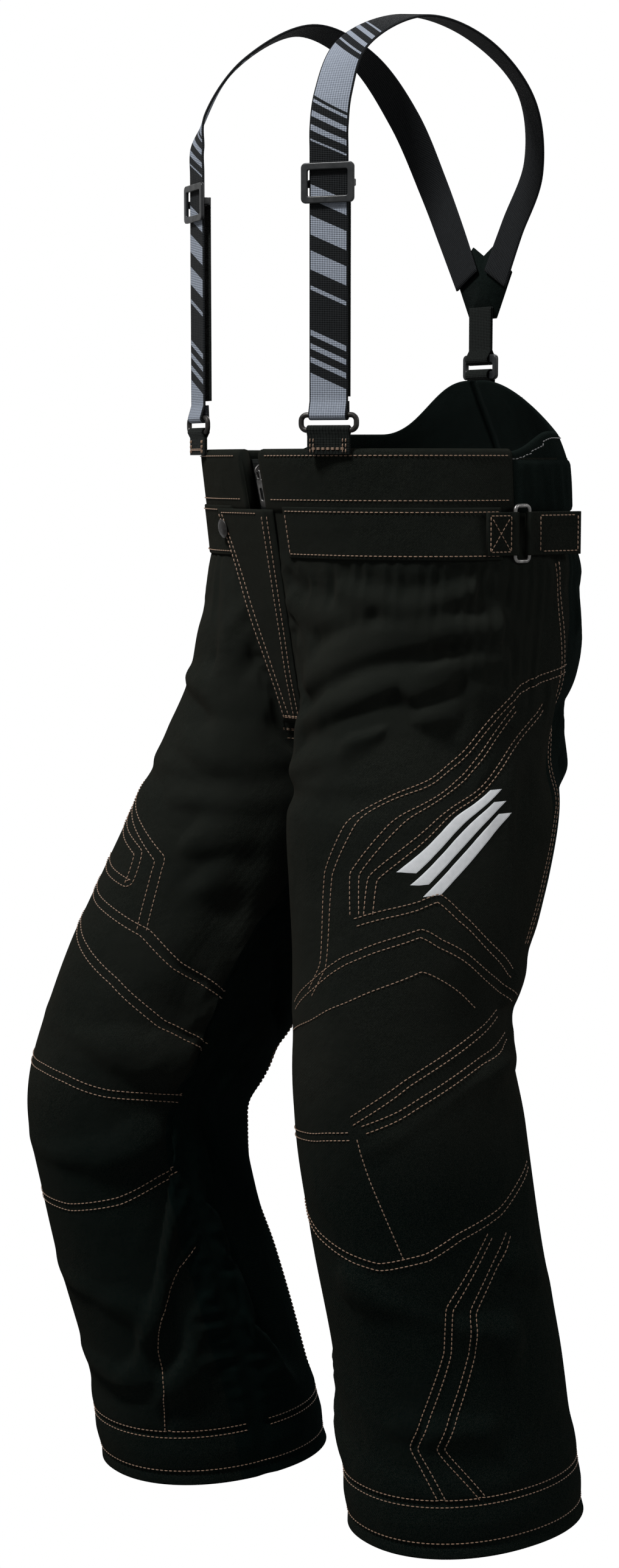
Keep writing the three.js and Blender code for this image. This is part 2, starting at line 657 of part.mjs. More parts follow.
for (const side of SIDES) {
  const s = sideSign[side];
  const [x, y] = STRAP_AT;
  const place = new THREE.Group();
  place.position.set(s * x, y, 0);
  place.rotation.z = s * STRAP_TURN;
  garment.add(place);

  const loop = wireLoop(STRAP_WIDTH + 14, FRONT_RING_RISE, 4, FRONT_WIRE);
  loop.translate(0, 0, FRONT_RING_Z);
  addMesh(place, `${side}_front_ring`, loop, "metal");

  const tab = eyeStrip(STRAP_WIDTH + 5, 31, 1.1, FRONT_WIRE + 0.4);
  tab.translate(0, 0, FRONT_RING_Z - FRONT_RING_RISE / 2);
  addMesh(place, `${side}_front_tab`, tab, "webbing");

  const eye = eyeStrip(STRAP_WIDTH, 12, STRAP_THICKNESS / 2, FRONT_WIRE + 0.4);
  eye.rotateX(Math.PI);
  eye.translate(0, 0, STRAP_END_Z);
  eye.applyMatrix4(new THREE.Matrix4().makeRotationZ(s * STRAP_TURN).setPosition(s * x, y, 0));
  const heights = [STRAP_END_Z + 9, 850, 890, 925, 950, 966];
  const straight = heights.map((z) => [s * x, y, z, s * FRONT_OUT[0], FRONT_OUT[1], 0]);
  const shoulder = SHOULDER[side].map(([sx, sy, z], i) => {
    const [ox, oy, oz] = SHOULDER_OUT[i];
    return [s * sx, sy, z, s * ox, oy, oz];
  });
  const band = strapBand([...straight, ...shoulder], 39, STRAP_WIDTH, STRAP_THICKNESS);
  addMesh(garment, `${side}_strap`, joined(eye, band), "print");

  const returnDepth = STRAP_THICKNESS / 2 + 3;
  const [foot, top] = [STRAP_END_Z + 9, ADJUSTER_Z + 4];
  addMesh(place, `${side}_strap_return`,
    box(-STRAP_WIDTH / 2, STRAP_WIDTH / 2, returnDepth, returnDepth + 1.6, foot, top), "webbing");

  const adjuster = new THREE.Group();
  adjuster.position.z = ADJUSTER_Z;
  place.add(adjuster);
  const frameShape = roundedRectangle(37, 26, 3);
  frameShape.holes.push(roundedRectangle(STRAP_WIDTH + 3, 18, 1, THREE.Path));
  const frame = extrude(frameShape, 2.4, 3).rotateX(Math.PI / 2);
  frame.translate(0, -STRAP_THICKNESS / 2 - 0.4, 0);
  const rearFace = STRAP_THICKNESS / 2 + 2.6;
  const post = (e) => box(e * 16.2 - 1.8, e * 16.2 + 1.8, -STRAP_THICKNESS / 2 - 1, rearFace, -2.5, 2.5);
  const bar = box(-17, 17, STRAP_THICKNESS / 2 + 0.4, rearFace, -2.5, 2.5);
  addMesh(adjuster, `${side}_adjuster`, joined(frame, post(-1), post(1), bar), "plastic");
}

// The crossing patch, the single back strap below it, and its ring on the back yoke.
const PATCH_OUTLINE = [[-15, 852], [15, 852], [32, 884], [12, 904], [-12, 904], [-32, 884]];
const patchShape = new THREE.Shape(PATCH_OUTLINE.map(([x, z]) => new THREE.Vector2(x, z)));
const patch = extrude(patchShape, 2).rotateX(Math.PI / 2);
patch.translate(0, 88, 0);
addMesh(garment, "crossing_patch", patch, "webbing");

const backPlace = new THREE.Group();
const yokeTopY = seamY("left", WAIST_Z, 1, SEAM_GAP) - YOKE_LEAN * YOKE_RISE;
backPlace.position.set(0, yokeTopY + 3.4, WAIST_Z + YOKE_RISE + 9.5);
garment.add(backPlace);
const BAR = 6;
const slotHeight = 6;
const backRingShape = roundedRectangle(38, slotHeight + 2 * BAR, 3);
backRingShape.holes.push(roundedRectangle(30, slotHeight, 1, THREE.Path));
const backRing = extrude(backRingShape, 3, 3).rotateX(Math.PI / 2);
backRing.translate(0, 1.5, 0);
addMesh(backPlace, "back_ring", backRing, "plastic");
const barOffset = (slotHeight + BAR) / 2;
const stem = eyeStrip(STRAP_WIDTH, 38, 0.8, 3.7).rotateX(Math.PI);
stem.translate(0, 0, barOffset);
addMesh(backPlace, "back_strap", stem, "webbing");
const backTab = eyeStrip(STRAP_WIDTH, 20, 0.8, 3.7).rotateX(Math.atan(YOKE_LEAN));
backTab.translate(0, 0, -barOffset);
addMesh(backPlace, "back_tab", backTab, "webbing");

export default garment;
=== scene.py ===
"""A child's insulated snow trousers with elastic suspenders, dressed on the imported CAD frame.

Lengths are millimetres in "body" coordinates, as in the CAD source: x = 0 on the centre seams, the
wearer faces -y, and the wearer's left is +x. place() turns them into the frame's metres.
u is the share of the way round one half: from the inseam or centre front, over the outer side, to the back.
"""
import math

import bmesh
import bpy
import numpy as np
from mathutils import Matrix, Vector
from mathutils.kdtree import KDTree


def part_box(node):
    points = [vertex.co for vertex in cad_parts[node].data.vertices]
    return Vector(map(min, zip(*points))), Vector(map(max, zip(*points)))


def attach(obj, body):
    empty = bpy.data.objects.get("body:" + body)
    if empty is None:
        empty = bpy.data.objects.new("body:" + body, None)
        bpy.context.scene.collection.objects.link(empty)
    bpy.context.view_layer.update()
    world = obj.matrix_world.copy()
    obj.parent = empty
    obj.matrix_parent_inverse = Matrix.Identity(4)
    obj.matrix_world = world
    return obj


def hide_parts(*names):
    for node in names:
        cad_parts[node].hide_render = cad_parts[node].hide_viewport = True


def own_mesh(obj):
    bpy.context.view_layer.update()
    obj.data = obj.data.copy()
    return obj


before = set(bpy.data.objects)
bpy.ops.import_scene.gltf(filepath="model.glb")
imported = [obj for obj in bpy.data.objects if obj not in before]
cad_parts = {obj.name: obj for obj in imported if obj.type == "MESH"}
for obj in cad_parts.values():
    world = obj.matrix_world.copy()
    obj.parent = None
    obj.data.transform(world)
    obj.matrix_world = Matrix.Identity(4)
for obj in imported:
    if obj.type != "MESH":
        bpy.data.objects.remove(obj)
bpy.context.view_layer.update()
BODY_AXIS = np.array([11.5, 53.4, 0.0])  # the body's upright axis in the frame


def place(points):
    """Body millimetres to the frame's metres."""
    return (np.asarray(points, float) + BODY_AXIS) / 1000


def declare(obj, body, slot, *replaced):
    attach(obj, body)
    if replaced:
        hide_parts(*replaced)
    return obj


# ---------------------------------------------------------------- camera and light
CAMERA_AZIMUTH = math.radians(55)
CAMERA_PITCH = math.radians(7.2)
CAMERA_DISTANCE = 1820.0  # level distance from the aim point
AIM = np.array([-31.7, -45.3, 518.0])
LENS = 58.2
LIGHT_TARGET = Vector((0, 0, 0.55))  # metres, mid-height of the part


def add_camera():
    toward = np.array([math.sin(CAMERA_AZIMUTH), -math.cos(CAMERA_AZIMUTH), math.tan(CAMERA_PITCH)])
    data = bpy.data.cameras.new("camera")
    data.lens = LENS
    data.sensor_width = 36
    camera = bpy.data.objects.new("camera", data)
    camera.location = place(AIM + CAMERA_DISTANCE * toward)
    camera.rotation_euler = (math.pi / 2 - CAMERA_PITCH, 0, CAMERA_AZIMUTH)
    bpy.context.scene.collection.objects.link(camera)
    bpy.context.scene.camera = camera


def add_area_light(name, azimuth, elevation, distance, size, power):
    data = bpy.data.lights.new(name, "AREA")
    data.shape = "DISK"
    data.size = size
    data.energy = power
    light = bpy.data.objects.new(name, data)
    a, e = math.radians(azimuth), math.radians(elevation)
    offset = Vector((math.sin(a) * math.cos(e), -math.cos(a) * math.cos(e), math.sin(e)))
    light.location = LIGHT_TARGET + distance * offset
    light.rotation_euler = (-offset).to_track_quat("-Z", "Y").to_euler()
    bpy.context.scene.collection.objects.link(light)


def add_studio():
    world = bpy.data.worlds.new("studio")
    world.use_nodes = True
    sky = world.node_tree.nodes["Background"].inputs
    sky["Color"].default_value = (1, 1, 1, 1)
    sky["Strength"].default_value = 1.0
    bpy.context.scene.world = world
    bpy.context.scene.view_settings.view_transform = "Standard"
    add_area_light("key", 5, 56, 2.4, 0.5, 230)
    add_area_light("side", 118, 28, 2.4, 0.7, 36)
    add_area_light("back", 205, 45, 2.6, 0.8, 25)


# ---------------------------------------------------------------- materials
def scaled(color, factor):
    return tuple(min(1.0, factor * c) for c in color)


class Shading:
    """A material's node tree, with short calls for the nodes used here."""

    def __init__(self, name, color, roughness, metallic=0.0, sheen=0.0, gloss=0.5):
        self.material = bpy.data.materials.new(name)
        self.material.use_nodes = True
        self.tree = self.material.node_tree
        self.shader = self.tree.nodes["Principled BSDF"]
        self.shader.inputs["Base Color"].default_value = (*color, 1)
        self.shader.inputs["Roughness"].default_value = roughness
        self.shader.inputs["Metallic"].default_value = metallic
        self.shader.inputs["Sheen Weight"].default_value = sheen
        self.shader.inputs["Sheen Roughness"].default_value = 0.45
        self.shader.inputs["Specular IOR Level"].default_value = gloss

    def node(self, kind, settings=None, **inputs):
        node = self.tree.nodes.new(kind)
        for key, value in (settings or {}).items():
            setattr(node, key, value)
        for key, value in inputs.items():
            self.feed(node.inputs[key], value)
        return node

    def numbered(self, node, values):
        for k, value in enumerate(values):
            self.feed(node.inputs[k], value)
        return node.outputs[0]

    def math(self, operation, *values):
        return self.numbered(self.node("ShaderNodeMath", {"operation": operation}), values)

    def object_point(self):
        return self.node("ShaderNodeTexCoord").outputs["Object"]

    def uv(self):
        parts = self.node("ShaderNodeSeparateXYZ", Vector=self.node("ShaderNodeTexCoord").outputs["UV"])
        return parts.outputs[0], parts.outputs[1]

    def height(self):
        """The point's height in the frame, in metres."""
        return self.node("ShaderNodeSeparateXYZ", Vector=self.object_point()).outputs[2]

    def waves(self, value, turns):
        return self.math("SINE", self.math("MULTIPLY", value, 2 * math.pi * turns))

    def noise(self, scale, detail=3.0, roughness=0.55):
        values = {"Scale": scale, "Detail": detail, "Roughness": roughness}
        return self.node("ShaderNodeTexNoise", Vector=self.object_point(), **values).outputs[0]

    def mix(self, factor, a, b):
        node = self.tree.nodes.new("ShaderNodeMix")
        node.data_type = "RGBA"
        self.feed(node.inputs[0], factor)
        self.feed(node.inputs[6], a)
        self.feed(node.inputs[7], b)
        return node.outputs[2]

    def feed(self, socket, value):
        if isinstance(value, bpy.types.NodeSocket):
            self.tree.links.new(value, socket)
        elif hasattr(value, "__len__"):
            socket.default_value = (*value, 1)
        else:
            socket.default_value = value

    def range(self, value, low, high, to_low, to_high):
        return self.numbered(self.tree.nodes.new("ShaderNodeMapRange"), (value, low, high, to_low, to_high))

    def color(self, value):
        self.feed(self.shader.inputs["Base Color"], value)

    def roughness(self, value):
        self.feed(self.shader.inputs["Roughness"], value)

    def bump(self, height, distance, strength=1.0, below=None):
        node = self.tree.nodes.new("ShaderNodeBump")
        node.inputs["Strength"].default_value = strength
        node.inputs["Distance"].default_value = distance
        self.tree.links.new(height, node.inputs["Height"])
        if below is not None:
            self.tree.links.new(below, node.inputs["Normal"])
        self.tree.links.new(node.outputs[0], self.shader.inputs["Normal"])
        return node.outputs[0]

    def weave(self, pitch):
        """Height of a plain weave, its threads pitch metres apart, from the object's own coordinates."""
        parts = self.node("ShaderNodeSeparateXYZ", Vector=self.object_point())
        round_the_body = self.math("ADD", parts.outputs[0], self.math("MULTIPLY", parts.outputs[1], 0.83))
        warp = self.waves(round_the_body, 0.78 / pitch)
        weft = self.waves(parts.outputs[2], 1 / pitch)
        return self.math("MULTIPLY", warp, weft)

    def ribbed(self, u, v, ribs, pick, distance):
        """Bump of elastic webbing: ribs along it, and fine picks across it, pick metres apart."""
        picks = self.math("MULTIPLY", self.waves(v, 1 / pick), 0.6)
        self.bump(self.math("ADD", self.waves(u, ribs), picks), distance, 0.8)


def shell_material(name, lit, shade, warmth, low):
    """Matte woven nylon: a fine weave, slight crumpling, painted light and shade in blotches, and painted
    shade below the knee.
    """
    m = Shading(name, lit, 0.78, sheen=0.004, gloss=0.0)
    m.shader.inputs["Sheen Tint"].default_value = (*warmth, 1)
    # Painted light and shade: large noise blotches mix the lit and the shaded tone.
    lit_shade_blotches = m.noise(9.0, 4.0)
    fleck = m.noise(1400.0, 2.0)
    # Painted shade: from 0.33 m down to 0.25 m in height the colour turns to the darker low tone.
    knee_shade_mask = m.range(m.height(), 0.33, 0.25, 0, 1)
    base = m.mix(knee_shade_mask, m.mix(m.range(lit_shade_blotches, 0.3, 0.7, 0, 1), shade, lit), low)
    m.color(m.mix(m.range(fleck, 0.35, 0.75, 0, 0.55), base, scaled(lit, 2.1)))
    m.roughness(m.range(fleck, 0.3, 0.7, 0.7, 0.86))
    crumple = m.bump(m.noise(48.0, 5.0, 0.6), 0.0042, 0.7)
    m.bump(m.math("ADD", m.weave(0.0011), m.noise(900.0, 2.0)), 0.00025, 0.7, crumple)
    return m.material


def lining_material():
    """Smooth black taffeta, faintly glossy."""
    m = Shading("lining_taffeta", (0.005, 0.006, 0.006), 0.5, sheen=0.03, gloss=0.15)
    m.color(m.mix(m.noise(14.0), (0.003, 0.004, 0.004), (0.008, 0.009, 0.009)))
    soft = m.bump(m.noise(55.0, 4.0), 0.002, 0.6)
    m.bump(m.weave(0.0008), 0.0001, 0.5, soft)
    return m.material


def webbing_material(name, base):
    """Plain elastic webbing, from its own UVs: u across it, v in metres along it."""
    m = Shading(name, base, 0.8, sheen=0.005, gloss=0.02)
    u, v = m.uv()
    m.color(m.mix(m.range(m.noise(600.0), 0.3, 0.7, 0, 1), scaled(base, 0.7), scaled(base, 1.5)))
    m.ribbed(u, v, 14, 0.0011, 0.00028)
    return m.material


# Bands woven into the front of a strap: [from, to] along it in metres, and the kind of band.
STRAP_BANDS = [
    (0.000, 0.046, "solid"),
    (0.052, 0.078, "slant"),
    (0.100, 0.168, "bars"),
    (0.196, 0.222, "slant"),
    (0.224, 0.262, "solid"),
    (0.266, 0.292, "slant"),
]
# How often a kind of band repeats along the strap, in metres, and the share of each repeat that is grey.
BAND_REPEATS = {"slant": (0.0088, 0.42), "bars": (0.0226, 0.55)}


def strap_material():
    """Black elastic with woven slate-grey blocks, slanted stripes and plain bars."""
    m = Shading("strap_elastic", (0.003, 0.003, 0.0035), 0.75, sheen=0.005, gloss=0.02)
    u, v = m.uv()

    def between(value, low, high):
        return m.math("MULTIPLY", m.math("GREATER_THAN", value, low), m.math("LESS_THAN", value, high))

    slanted = m.math("ADD", v, m.math("MULTIPLY", u, 0.012))
    mask = 0.0
    for start, end, kind in STRAP_BANDS:
        band = between(slanted, start, end)
        if kind in BAND_REPEATS:
            pitch, grey_share = BAND_REPEATS[kind]
            phase = m.math("FRACT", m.math("MULTIPLY", slanted, 1 / pitch))
            band = m.math("MULTIPLY", band, m.math("LESS_THAN", phase, grey_share))
        mask = m.math("MAXIMUM", mask, m.math("MULTIPLY", band, between(u, 0.04, 0.96)))
    mask = m.math("MULTIPLY", mask, m.math("GREATER_THAN", v, 0.0005))
    black = m.mix(m.noise(500.0), (0.0015, 0.0017, 0.0019), (0.0036, 0.004, 0.0044))
    grey = m.mix(m.noise(700.0), (0.046, 0.052, 0.063), (0.074, 0.082, 0.096))
    m.color(m.mix(mask, black, grey))
    m.ribbed(u, v, 16, 0.0012, 0.00025)
    return m.material


def thread_material(name, color):
    m = Shading(name, color, 0.55, sheen=0.05, gloss=0.2)
    m.color(m.mix(m.noise(260.0), scaled(color, 0.62), scaled(color, 1.25)))
    m.bump(m.noise(3000.0), 0.0001, 0.5)
    return m.material


def plastic_material():
    m = Shading("moulded_plastic", (0.003, 0.0033, 0.0036), 0.38, gloss=0.12)
    m.roughness(m.range(m.noise(180.0, 4.0), 0.3, 0.7, 0.32, 0.5))
    m.color(m.mix(m.noise(60.0), (0.0022, 0.0025, 0.0027), (0.0044, 0.0048, 0.0052)))
    m.bump(m.noise(1500.0), 0.00006, 0.5)
    return m.material


def metal_material(name, color, rough):
    """Plated metal, brighter where it rubs and dull in between."""
    m = Shading(name, color, rough, metallic=1.0)
    wear = m.range(m.noise(220.0, 5.0, 0.65), 0.42, 0.62, 0, 1)
    m.color(m.mix(wear, scaled(color, 0.7), scaled(color, 1.5)))
    m.roughness(m.range(wear, 0, 1, rough + 0.12, rough - 0.06))
    m.bump(m.noise(900.0, 3.0), 0.00004, 0.4)
    return m.material


def patch_material():
    """Light grey heat-applied film."""
    m = Shading("reflective_film", (0.18, 0.185, 0.19), 0.5, gloss=0.2)
    m.color(m.mix(m.noise(300.0), (0.15, 0.155, 0.16), (0.21, 0.215, 0.22)))
    m.bump(m.weave(0.0011), 0.00012, 0.6)
    return m.material


def foam_material():
    """Dense closed-cell foam."""
    m = Shading("closed_cell_foam", (0.09, 0.095, 0.1), 0.9)
    m.color(m.mix(m.noise(40.0), (0.075, 0.08, 0.085), (0.115, 0.12, 0.125)))
    m.bump(m.noise(1100.0, 2.0), 0.0003, 0.8)
    return m.material


# The shell cloth's colours on the front and on the back (the back's darker and greener), each as a lit and a
# shaded tone, and the painted shade that darkens it below the knee.
SHELL_LIT = (0.0028, 0.0031, 0.0026)
SHELL_SHADE = (0.0011, 0.0015, 0.0013)
SHELL_KNEE_SHADE = (0.0003, 0.0011, 0.0010)
BACK_LIT = (0.0013, 0.0019, 0.0017)
BACK_SHADE = (0.0006, 0.0010, 0.0009)

MATERIALS = {
    "shell": shell_material("shell_nylon", SHELL_LIT, SHELL_SHADE, (1.0, 0.80, 0.62), SHELL_KNEE_SHADE),
    "back": shell_material("shell_nylon_back", BACK_LIT, BACK_SHADE, (0.8, 1.0, 0.95), SHELL_KNEE_SHADE),
    "lining": lining_material(),
    "webbing": webbing_material("webbing", (0.0018, 0.0022, 0.0020)),
    "strap": strap_material(),
    "thread": thread_material("tan_thread", (0.062, 0.036, 0.021)),
    "dark_thread": thread_material("black_thread", (0.03, 0.03, 0.03)),
    "plastic": plastic_material(),
    "metal": metal_material("dark_nickel", (0.04, 0.038, 0.037), 0.42),
    "bright": metal_material("worn_nickel", (0.07, 0.068, 0.066), 0.36),
    "film": patch_material(),
    "foam": foam_material(),
    "shell_strip": shell_material("strip_nylon", SHELL_LIT, SHELL_SHADE, (1.0, 0.85, 0.7), SHELL_KNEE_SHADE),
    "webbing_plain": shell_material("patch_weave", BACK_LIT, BACK_SHADE, (0.9, 1.0, 0.95), SHELL_KNEE_SHADE),
    "snap_black": metal_material("black_nickel", (0.012, 0.0115, 0.011), 0.5),
}


# ---------------------------------------------------------------- the trousers' outer surface, as in the CAD
# The heights and widths in these two tables started from helper scripts' measurements of the photo's
# outline, and were changed by hand until the outline matched. The depths are partly guessed.
# Sections of the seat and hips: height, centre y, half width, half depth.
TORSO = [
    (524, -6, 24, 10), (536, -4, 84, 44), (556, 4, 118, 74), (591, 14, 136, 98), (636, 12, 143, 106),
    (681, 5, 141, 108), (711, 0, 137, 109), (752, -4, 133, 113),
]
# Sections of each leg: height, centre x, centre y, half width, half depth.
LEGS = {
    "left": [
        (0, 97, 2, 70, 88), (115, 92, -10, 70, 87), (204, 91, -29, 70, 86), (293, 92, -46, 71, 85),
        (380, 89, -52, 66, 78), (423, 85, -37, 70, 88), (466, 79, -25, 72, 97), (511, 74, -17, 70, 103),
        (561, 68, -10, 64, 98), (611, 62, -8, 58, 88), (671, 56, -6, 50, 78),
    ],
    "right": [
        (0, -114, -76, 70, 88), (70, -116, -90, 70, 87), (157, -120, -114, 70, 86),
        (214, -121, -131, 68, 82), (271, -121, -142, 68, 82), (308, -118, -133, 72, 90),
        (354, -113, -113, 76, 97), (401, -106, -97, 76, 97), (447, -97, -77, 75, 98),
        (493, -86, -57, 74, 100), (538, -76, -40, 70, 102), (591, -67, -28, 62, 92),
        (636, -60, -22, 58, 92), (690, -54, -12, 50, 82),
    ],
}
TORSO_SQUARENESS = 2.5  # superellipse exponents
LEG_SQUARENESS = 2.15
BLEND = 16.0  # width of the smooth join between the sections
LEG_FADE = (60.0, 40.0)  # above its table a leg shrinks by the first over a height of the second
SEAM_GAP = 0.3  # between neighbouring pieces
CROTCH_Z = 527.0  # where the two legs part
FLY_FOOT_Z = 556.0
FLY_HALF_GAP = 11.0  # the front panels stop this far from the centre front
WAIST_Z = 752.0  # top of the waistband
POLE_X = 55.0  # above the crotch the rays start this far from the centre
POLE_HEIGHTS = (500, 610)  # the rays' start moves there from the leg's middle between these
CAD_COLUMNS = 24  # the CAD's grid columns round one half
FAR = 260.0  # further than any point of the cloth is from where its ray starts
SIGN = {"left": 1.0, "right": -1.0}


def along(table, z):
    """The other columns of a table at the heights z, by smooth interpolation."""
    t = np.array(table, float)
    heights, values = t[:, 0], t[:, 1:]
    slopes = np.empty_like(values)
    slopes[1:-1] = (values[2:] - values[:-2]) / (heights[2:] - heights[:-2])[:, None]
    slopes[0] = (values[1] - values[0]) / (heights[1] - heights[0])
    slopes[-1] = (values[-1] - values[-2]) / (heights[-1] - heights[-2])
    h = np.clip(np.asarray(z, float), heights[0], heights[-1])
    i = np.clip(np.searchsorted(heights, h, side="left") - 1, 0, len(heights) - 2)
    step = heights[i + 1] - heights[i]
    s = ((h - heights[i]) / step)[..., None]
    step = step[..., None]
    result = (
        (2 * s**3 - 3 * s**2 + 1) * values[i]
        + (s**3 - 2 * s**2 + s) * step * slopes[i]
        + (3 * s**2 - 2 * s**3) * values[i + 1]
        + (s**3 - s**2) * step * slopes[i + 1]
    )
    return np.moveaxis(result, -1, 0)


def smoothstep(x, a, b):
    t = np.clip((x - a) / (b - a), 0, 1)
    return t * t * (3 - 2 * t)


def oval_distance(x, y, a, b, n):
    e = (np.abs(x / a) ** n + np.abs(y / b) ** n) ** (1 / n)
    return np.hypot(x, y) * (1 - 1 / np.maximum(e, 1e-6))


def sections_at(z):
    """The sizes of the seat's and the legs' sections at the heights z, for field()."""
    shrink, over = LEG_FADE
    legs = [(*along(table, z), shrink * np.clip((z - table[-1][0]) / over, 0, 1)) for table in LEGS.values()]
    return along(TORSO, z), np.asarray(z) < TORSO[0][0], legs


def field(x, y, cut):
    """Negative inside the trousers, positive outside; cut comes from sections_at()."""
    (cy, a, b), below_seat, legs = cut
    d = np.where(below_seat, 1000.0, oval_distance(x, y - cy, a, b, TORSO_SQUARENESS))
    for lx, ly, w, l, fade in legs:
        leg = oval_distance(x - lx, y - ly, w, l, LEG_SQUARENESS) + fade
        h = np.clip(0.5 + 0.5 * (d - leg) / BLEND, 0, 1)
        d = d * (1 - h) + leg * h - BLEND * h * (1 - h)
    return d


def bisect(outside, inside, is_inside):
    """Where the surface lies between a distance outside it and one inside it."""
    for _ in range(20):
        middle = (outside + inside) / 2
        hit = is_inside(middle)
        inside = np.where(hit, middle, inside)
        outside = np.where(hit, outside, middle)
    return inside


def surface_y(x, z, towards=-1):
    """The front surface's y at x and z, or the back's if towards is 1."""
    z = np.asarray(z, float)
    cut = sections_at(z)
    return bisect(towards * 250 + 0 * z, cut[0][0], lambda y: field(x, y, cut) < 0)


def pole(side, z):
    """Where the rays that cut one half's outline start."""
    lx, ly = along(LEGS[side], z)[:2]
    t = smoothstep(z, *POLE_HEIGHTS)
    return lx * (1 - t) + SIGN[side] * POLE_X * t, ly * (1 - t)


def fan(side, z):
    """First and last angle round one half, from the inseam round the front to the inseam."""
    px, py = pole(side, z)
    inward = np.abs(px)
    cx, cy = pole(side, np.float64(CROTCH_Z))
    start = np.arctan2(cy + 5, abs(cx)) * smoothstep(z, CROTCH_Z - 150, CROTCH_Z)
    gap = SEAM_GAP + (FLY_HALF_GAP - SEAM_GAP) * smoothstep(z, CROTCH_Z + 1, FLY_FOOT_Z + 4)
    above = np.maximum(z, CROTCH_Z + 1)
    front = surface_y(SIGN[side] * gap, above)
    back = surface_y(SIGN[side] * SEAM_GAP, above, 1)
    first = np.where(z <= CROTCH_Z, start, np.arctan2(py - front, inward - gap))
    last = np.where(z <= CROTCH_Z, start + 2 * np.pi, 2 * np.pi + np.arctan2(py - back, inward - SEAM_GAP))
    return first, last


def surface(side, u, z):
    """Points (..., 3) in body millimetres, at shares u round a half and heights z."""
    s = SIGN[side]
    heights, place_in = np.unique(z, return_inverse=True)
    place_in = place_in.reshape(np.shape(z))
    px, py = (v[place_in] for v in pole(side, heights))
    first, last = (v[place_in] for v in fan(side, heights))
    angle = first + u * (last - first)
    seat, below_seat, legs = sections_at(heights)
    cut = (
        tuple(v[place_in] for v in seat),
        below_seat[place_in],
        [tuple(v[place_in] for v in leg) for leg in legs],
    )
    dx, dy = -s * np.cos(angle), -np.sin(angle)

    def inside(r):
        return field(px + r * dx, py + r * dy, cut) < 0

    reach = np.where(s * dx < -1e-9, (s * px - SEAM_GAP) / np.maximum(-s * dx, 1e-9), FAR)
    limit = np.minimum(reach, FAR)
    radius = np.where(inside(limit), limit, bisect(limit, 1.0 + 0 * limit, inside))
    return np.stack([px + radius * dx, py + radius * dy, z + 0 * radius], axis=-1)


# ---------------------------------------------------------------- seams, as (u, height) on one half
# "double" has two rows of stitches, "single" has one.
# Most of these points are a helper script's print-out: it found where points picked on the photo lie on
# the surface above. Some were then moved, and the hidden sides' seams were added.
SEAMS = {
    "both": [
        ("double", [(0.02, 40), (0.2, 40), (0.4, 40), (0.6, 40), (0.8, 40), (0.98, 40)]),
        ("single", [(0.0, 9), (0.2, 9), (0.4, 9), (0.6, 9), (0.8, 9), (1.0, 9)]),
    ],
    "left": [
        ("double", [(0.612, 682), (0.624, 648), (0.648, 612), (0.672, 560), (0.672, 515), (0.64, 470),
                    (0.62, 425)]),
        ("double", [(0.66, 612), (0.52, 601), (0.341, 532), (0.293, 482), (0.276, 420), (0.25, 398)]),
        ("double", [(0.52, 590), (0.436, 552), (0.363, 509), (0.325, 482), (0.322, 452)]),
        ("double", [(0.60, 590), (0.52, 560), (0.39, 500), (0.345, 478), (0.338, 452)]),
        ("double", [(0.322, 449), (0.37, 456), (0.424, 464), (0.459, 450), (0.51, 435), (0.60, 408)]),
        ("double", [(0.20, 386), (0.246, 402), (0.31, 424), (0.40, 442), (0.431, 434), (0.47, 425),
                    (0.62, 392)]),
        ("single", [(0.19, 366), (0.253, 379), (0.353, 402), (0.409, 414), (0.46, 403), (0.53, 386)]),
        ("double", [(0.59, 384), (0.50, 364), (0.40, 343), (0.32, 316)]),
        ("double", [(0.62, 366), (0.54, 354), (0.421, 330), (0.335, 311)]),
        ("double", [(0.12, 290), (0.211, 298), (0.322, 307)]),
        ("single", [(0.323, 305), (0.333, 280), (0.365, 219)]),
        ("double", [(0.10, 258), (0.231, 229), (0.333, 216), (0.40, 222), (0.454, 235), (0.54, 249),
                    (0.63, 274)]),
        ("double", [(0.514, 234), (0.421, 185), (0.404, 152), (0.341, 83), (0.368, 42)]),
        ("double", [(0.552, 232), (0.460, 182), (0.443, 151), (0.377, 83), (0.426, 42)]),
        ("double", [(0.90, 560), (0.86, 450), (0.84, 340), (0.80, 200), (0.80, 42)]),
    ],
    "right": [
        ("double", [(0.46, 556), (0.42, 532), (0.371, 512), (0.253, 476), (0.241, 466), (0.198, 423)]),
        ("double", [(0.40, 506), (0.363, 494), (0.283, 476), (0.262, 454), (0.30, 458), (0.36, 466)]),
        ("double", [(0.56, 462), (0.42, 452), (0.328, 443), (0.195, 423), (0.125, 399), (0.02, 371)]),
        ("double", [(0.56, 436), (0.42, 428), (0.306, 416), (0.193, 387), (0.115, 357), (0.02, 334)]),
        ("double", [(0.56, 322), (0.40, 321), (0.261, 318), (0.213, 315), (0.15, 307), (0.02, 297)]),
        ("double", [(0.56, 236), (0.38, 218), (0.221, 217), (0.138, 225), (0.065, 238), (0.02, 244)]),
        ("single", [(0.02, 182), (0.058, 169), (0.11, 136), (0.128, 112), (0.135, 80), (0.145, 42)]),
        ("double", [(0.612, 682), (0.624, 648), (0.648, 612), (0.672, 540), (0.67, 460), (0.66, 380),
                    (0.66, 250)]),
        ("double", [(0.90, 560), (0.86, 450), (0.84, 340), (0.80, 200), (0.80, 42)]),
    ],
}
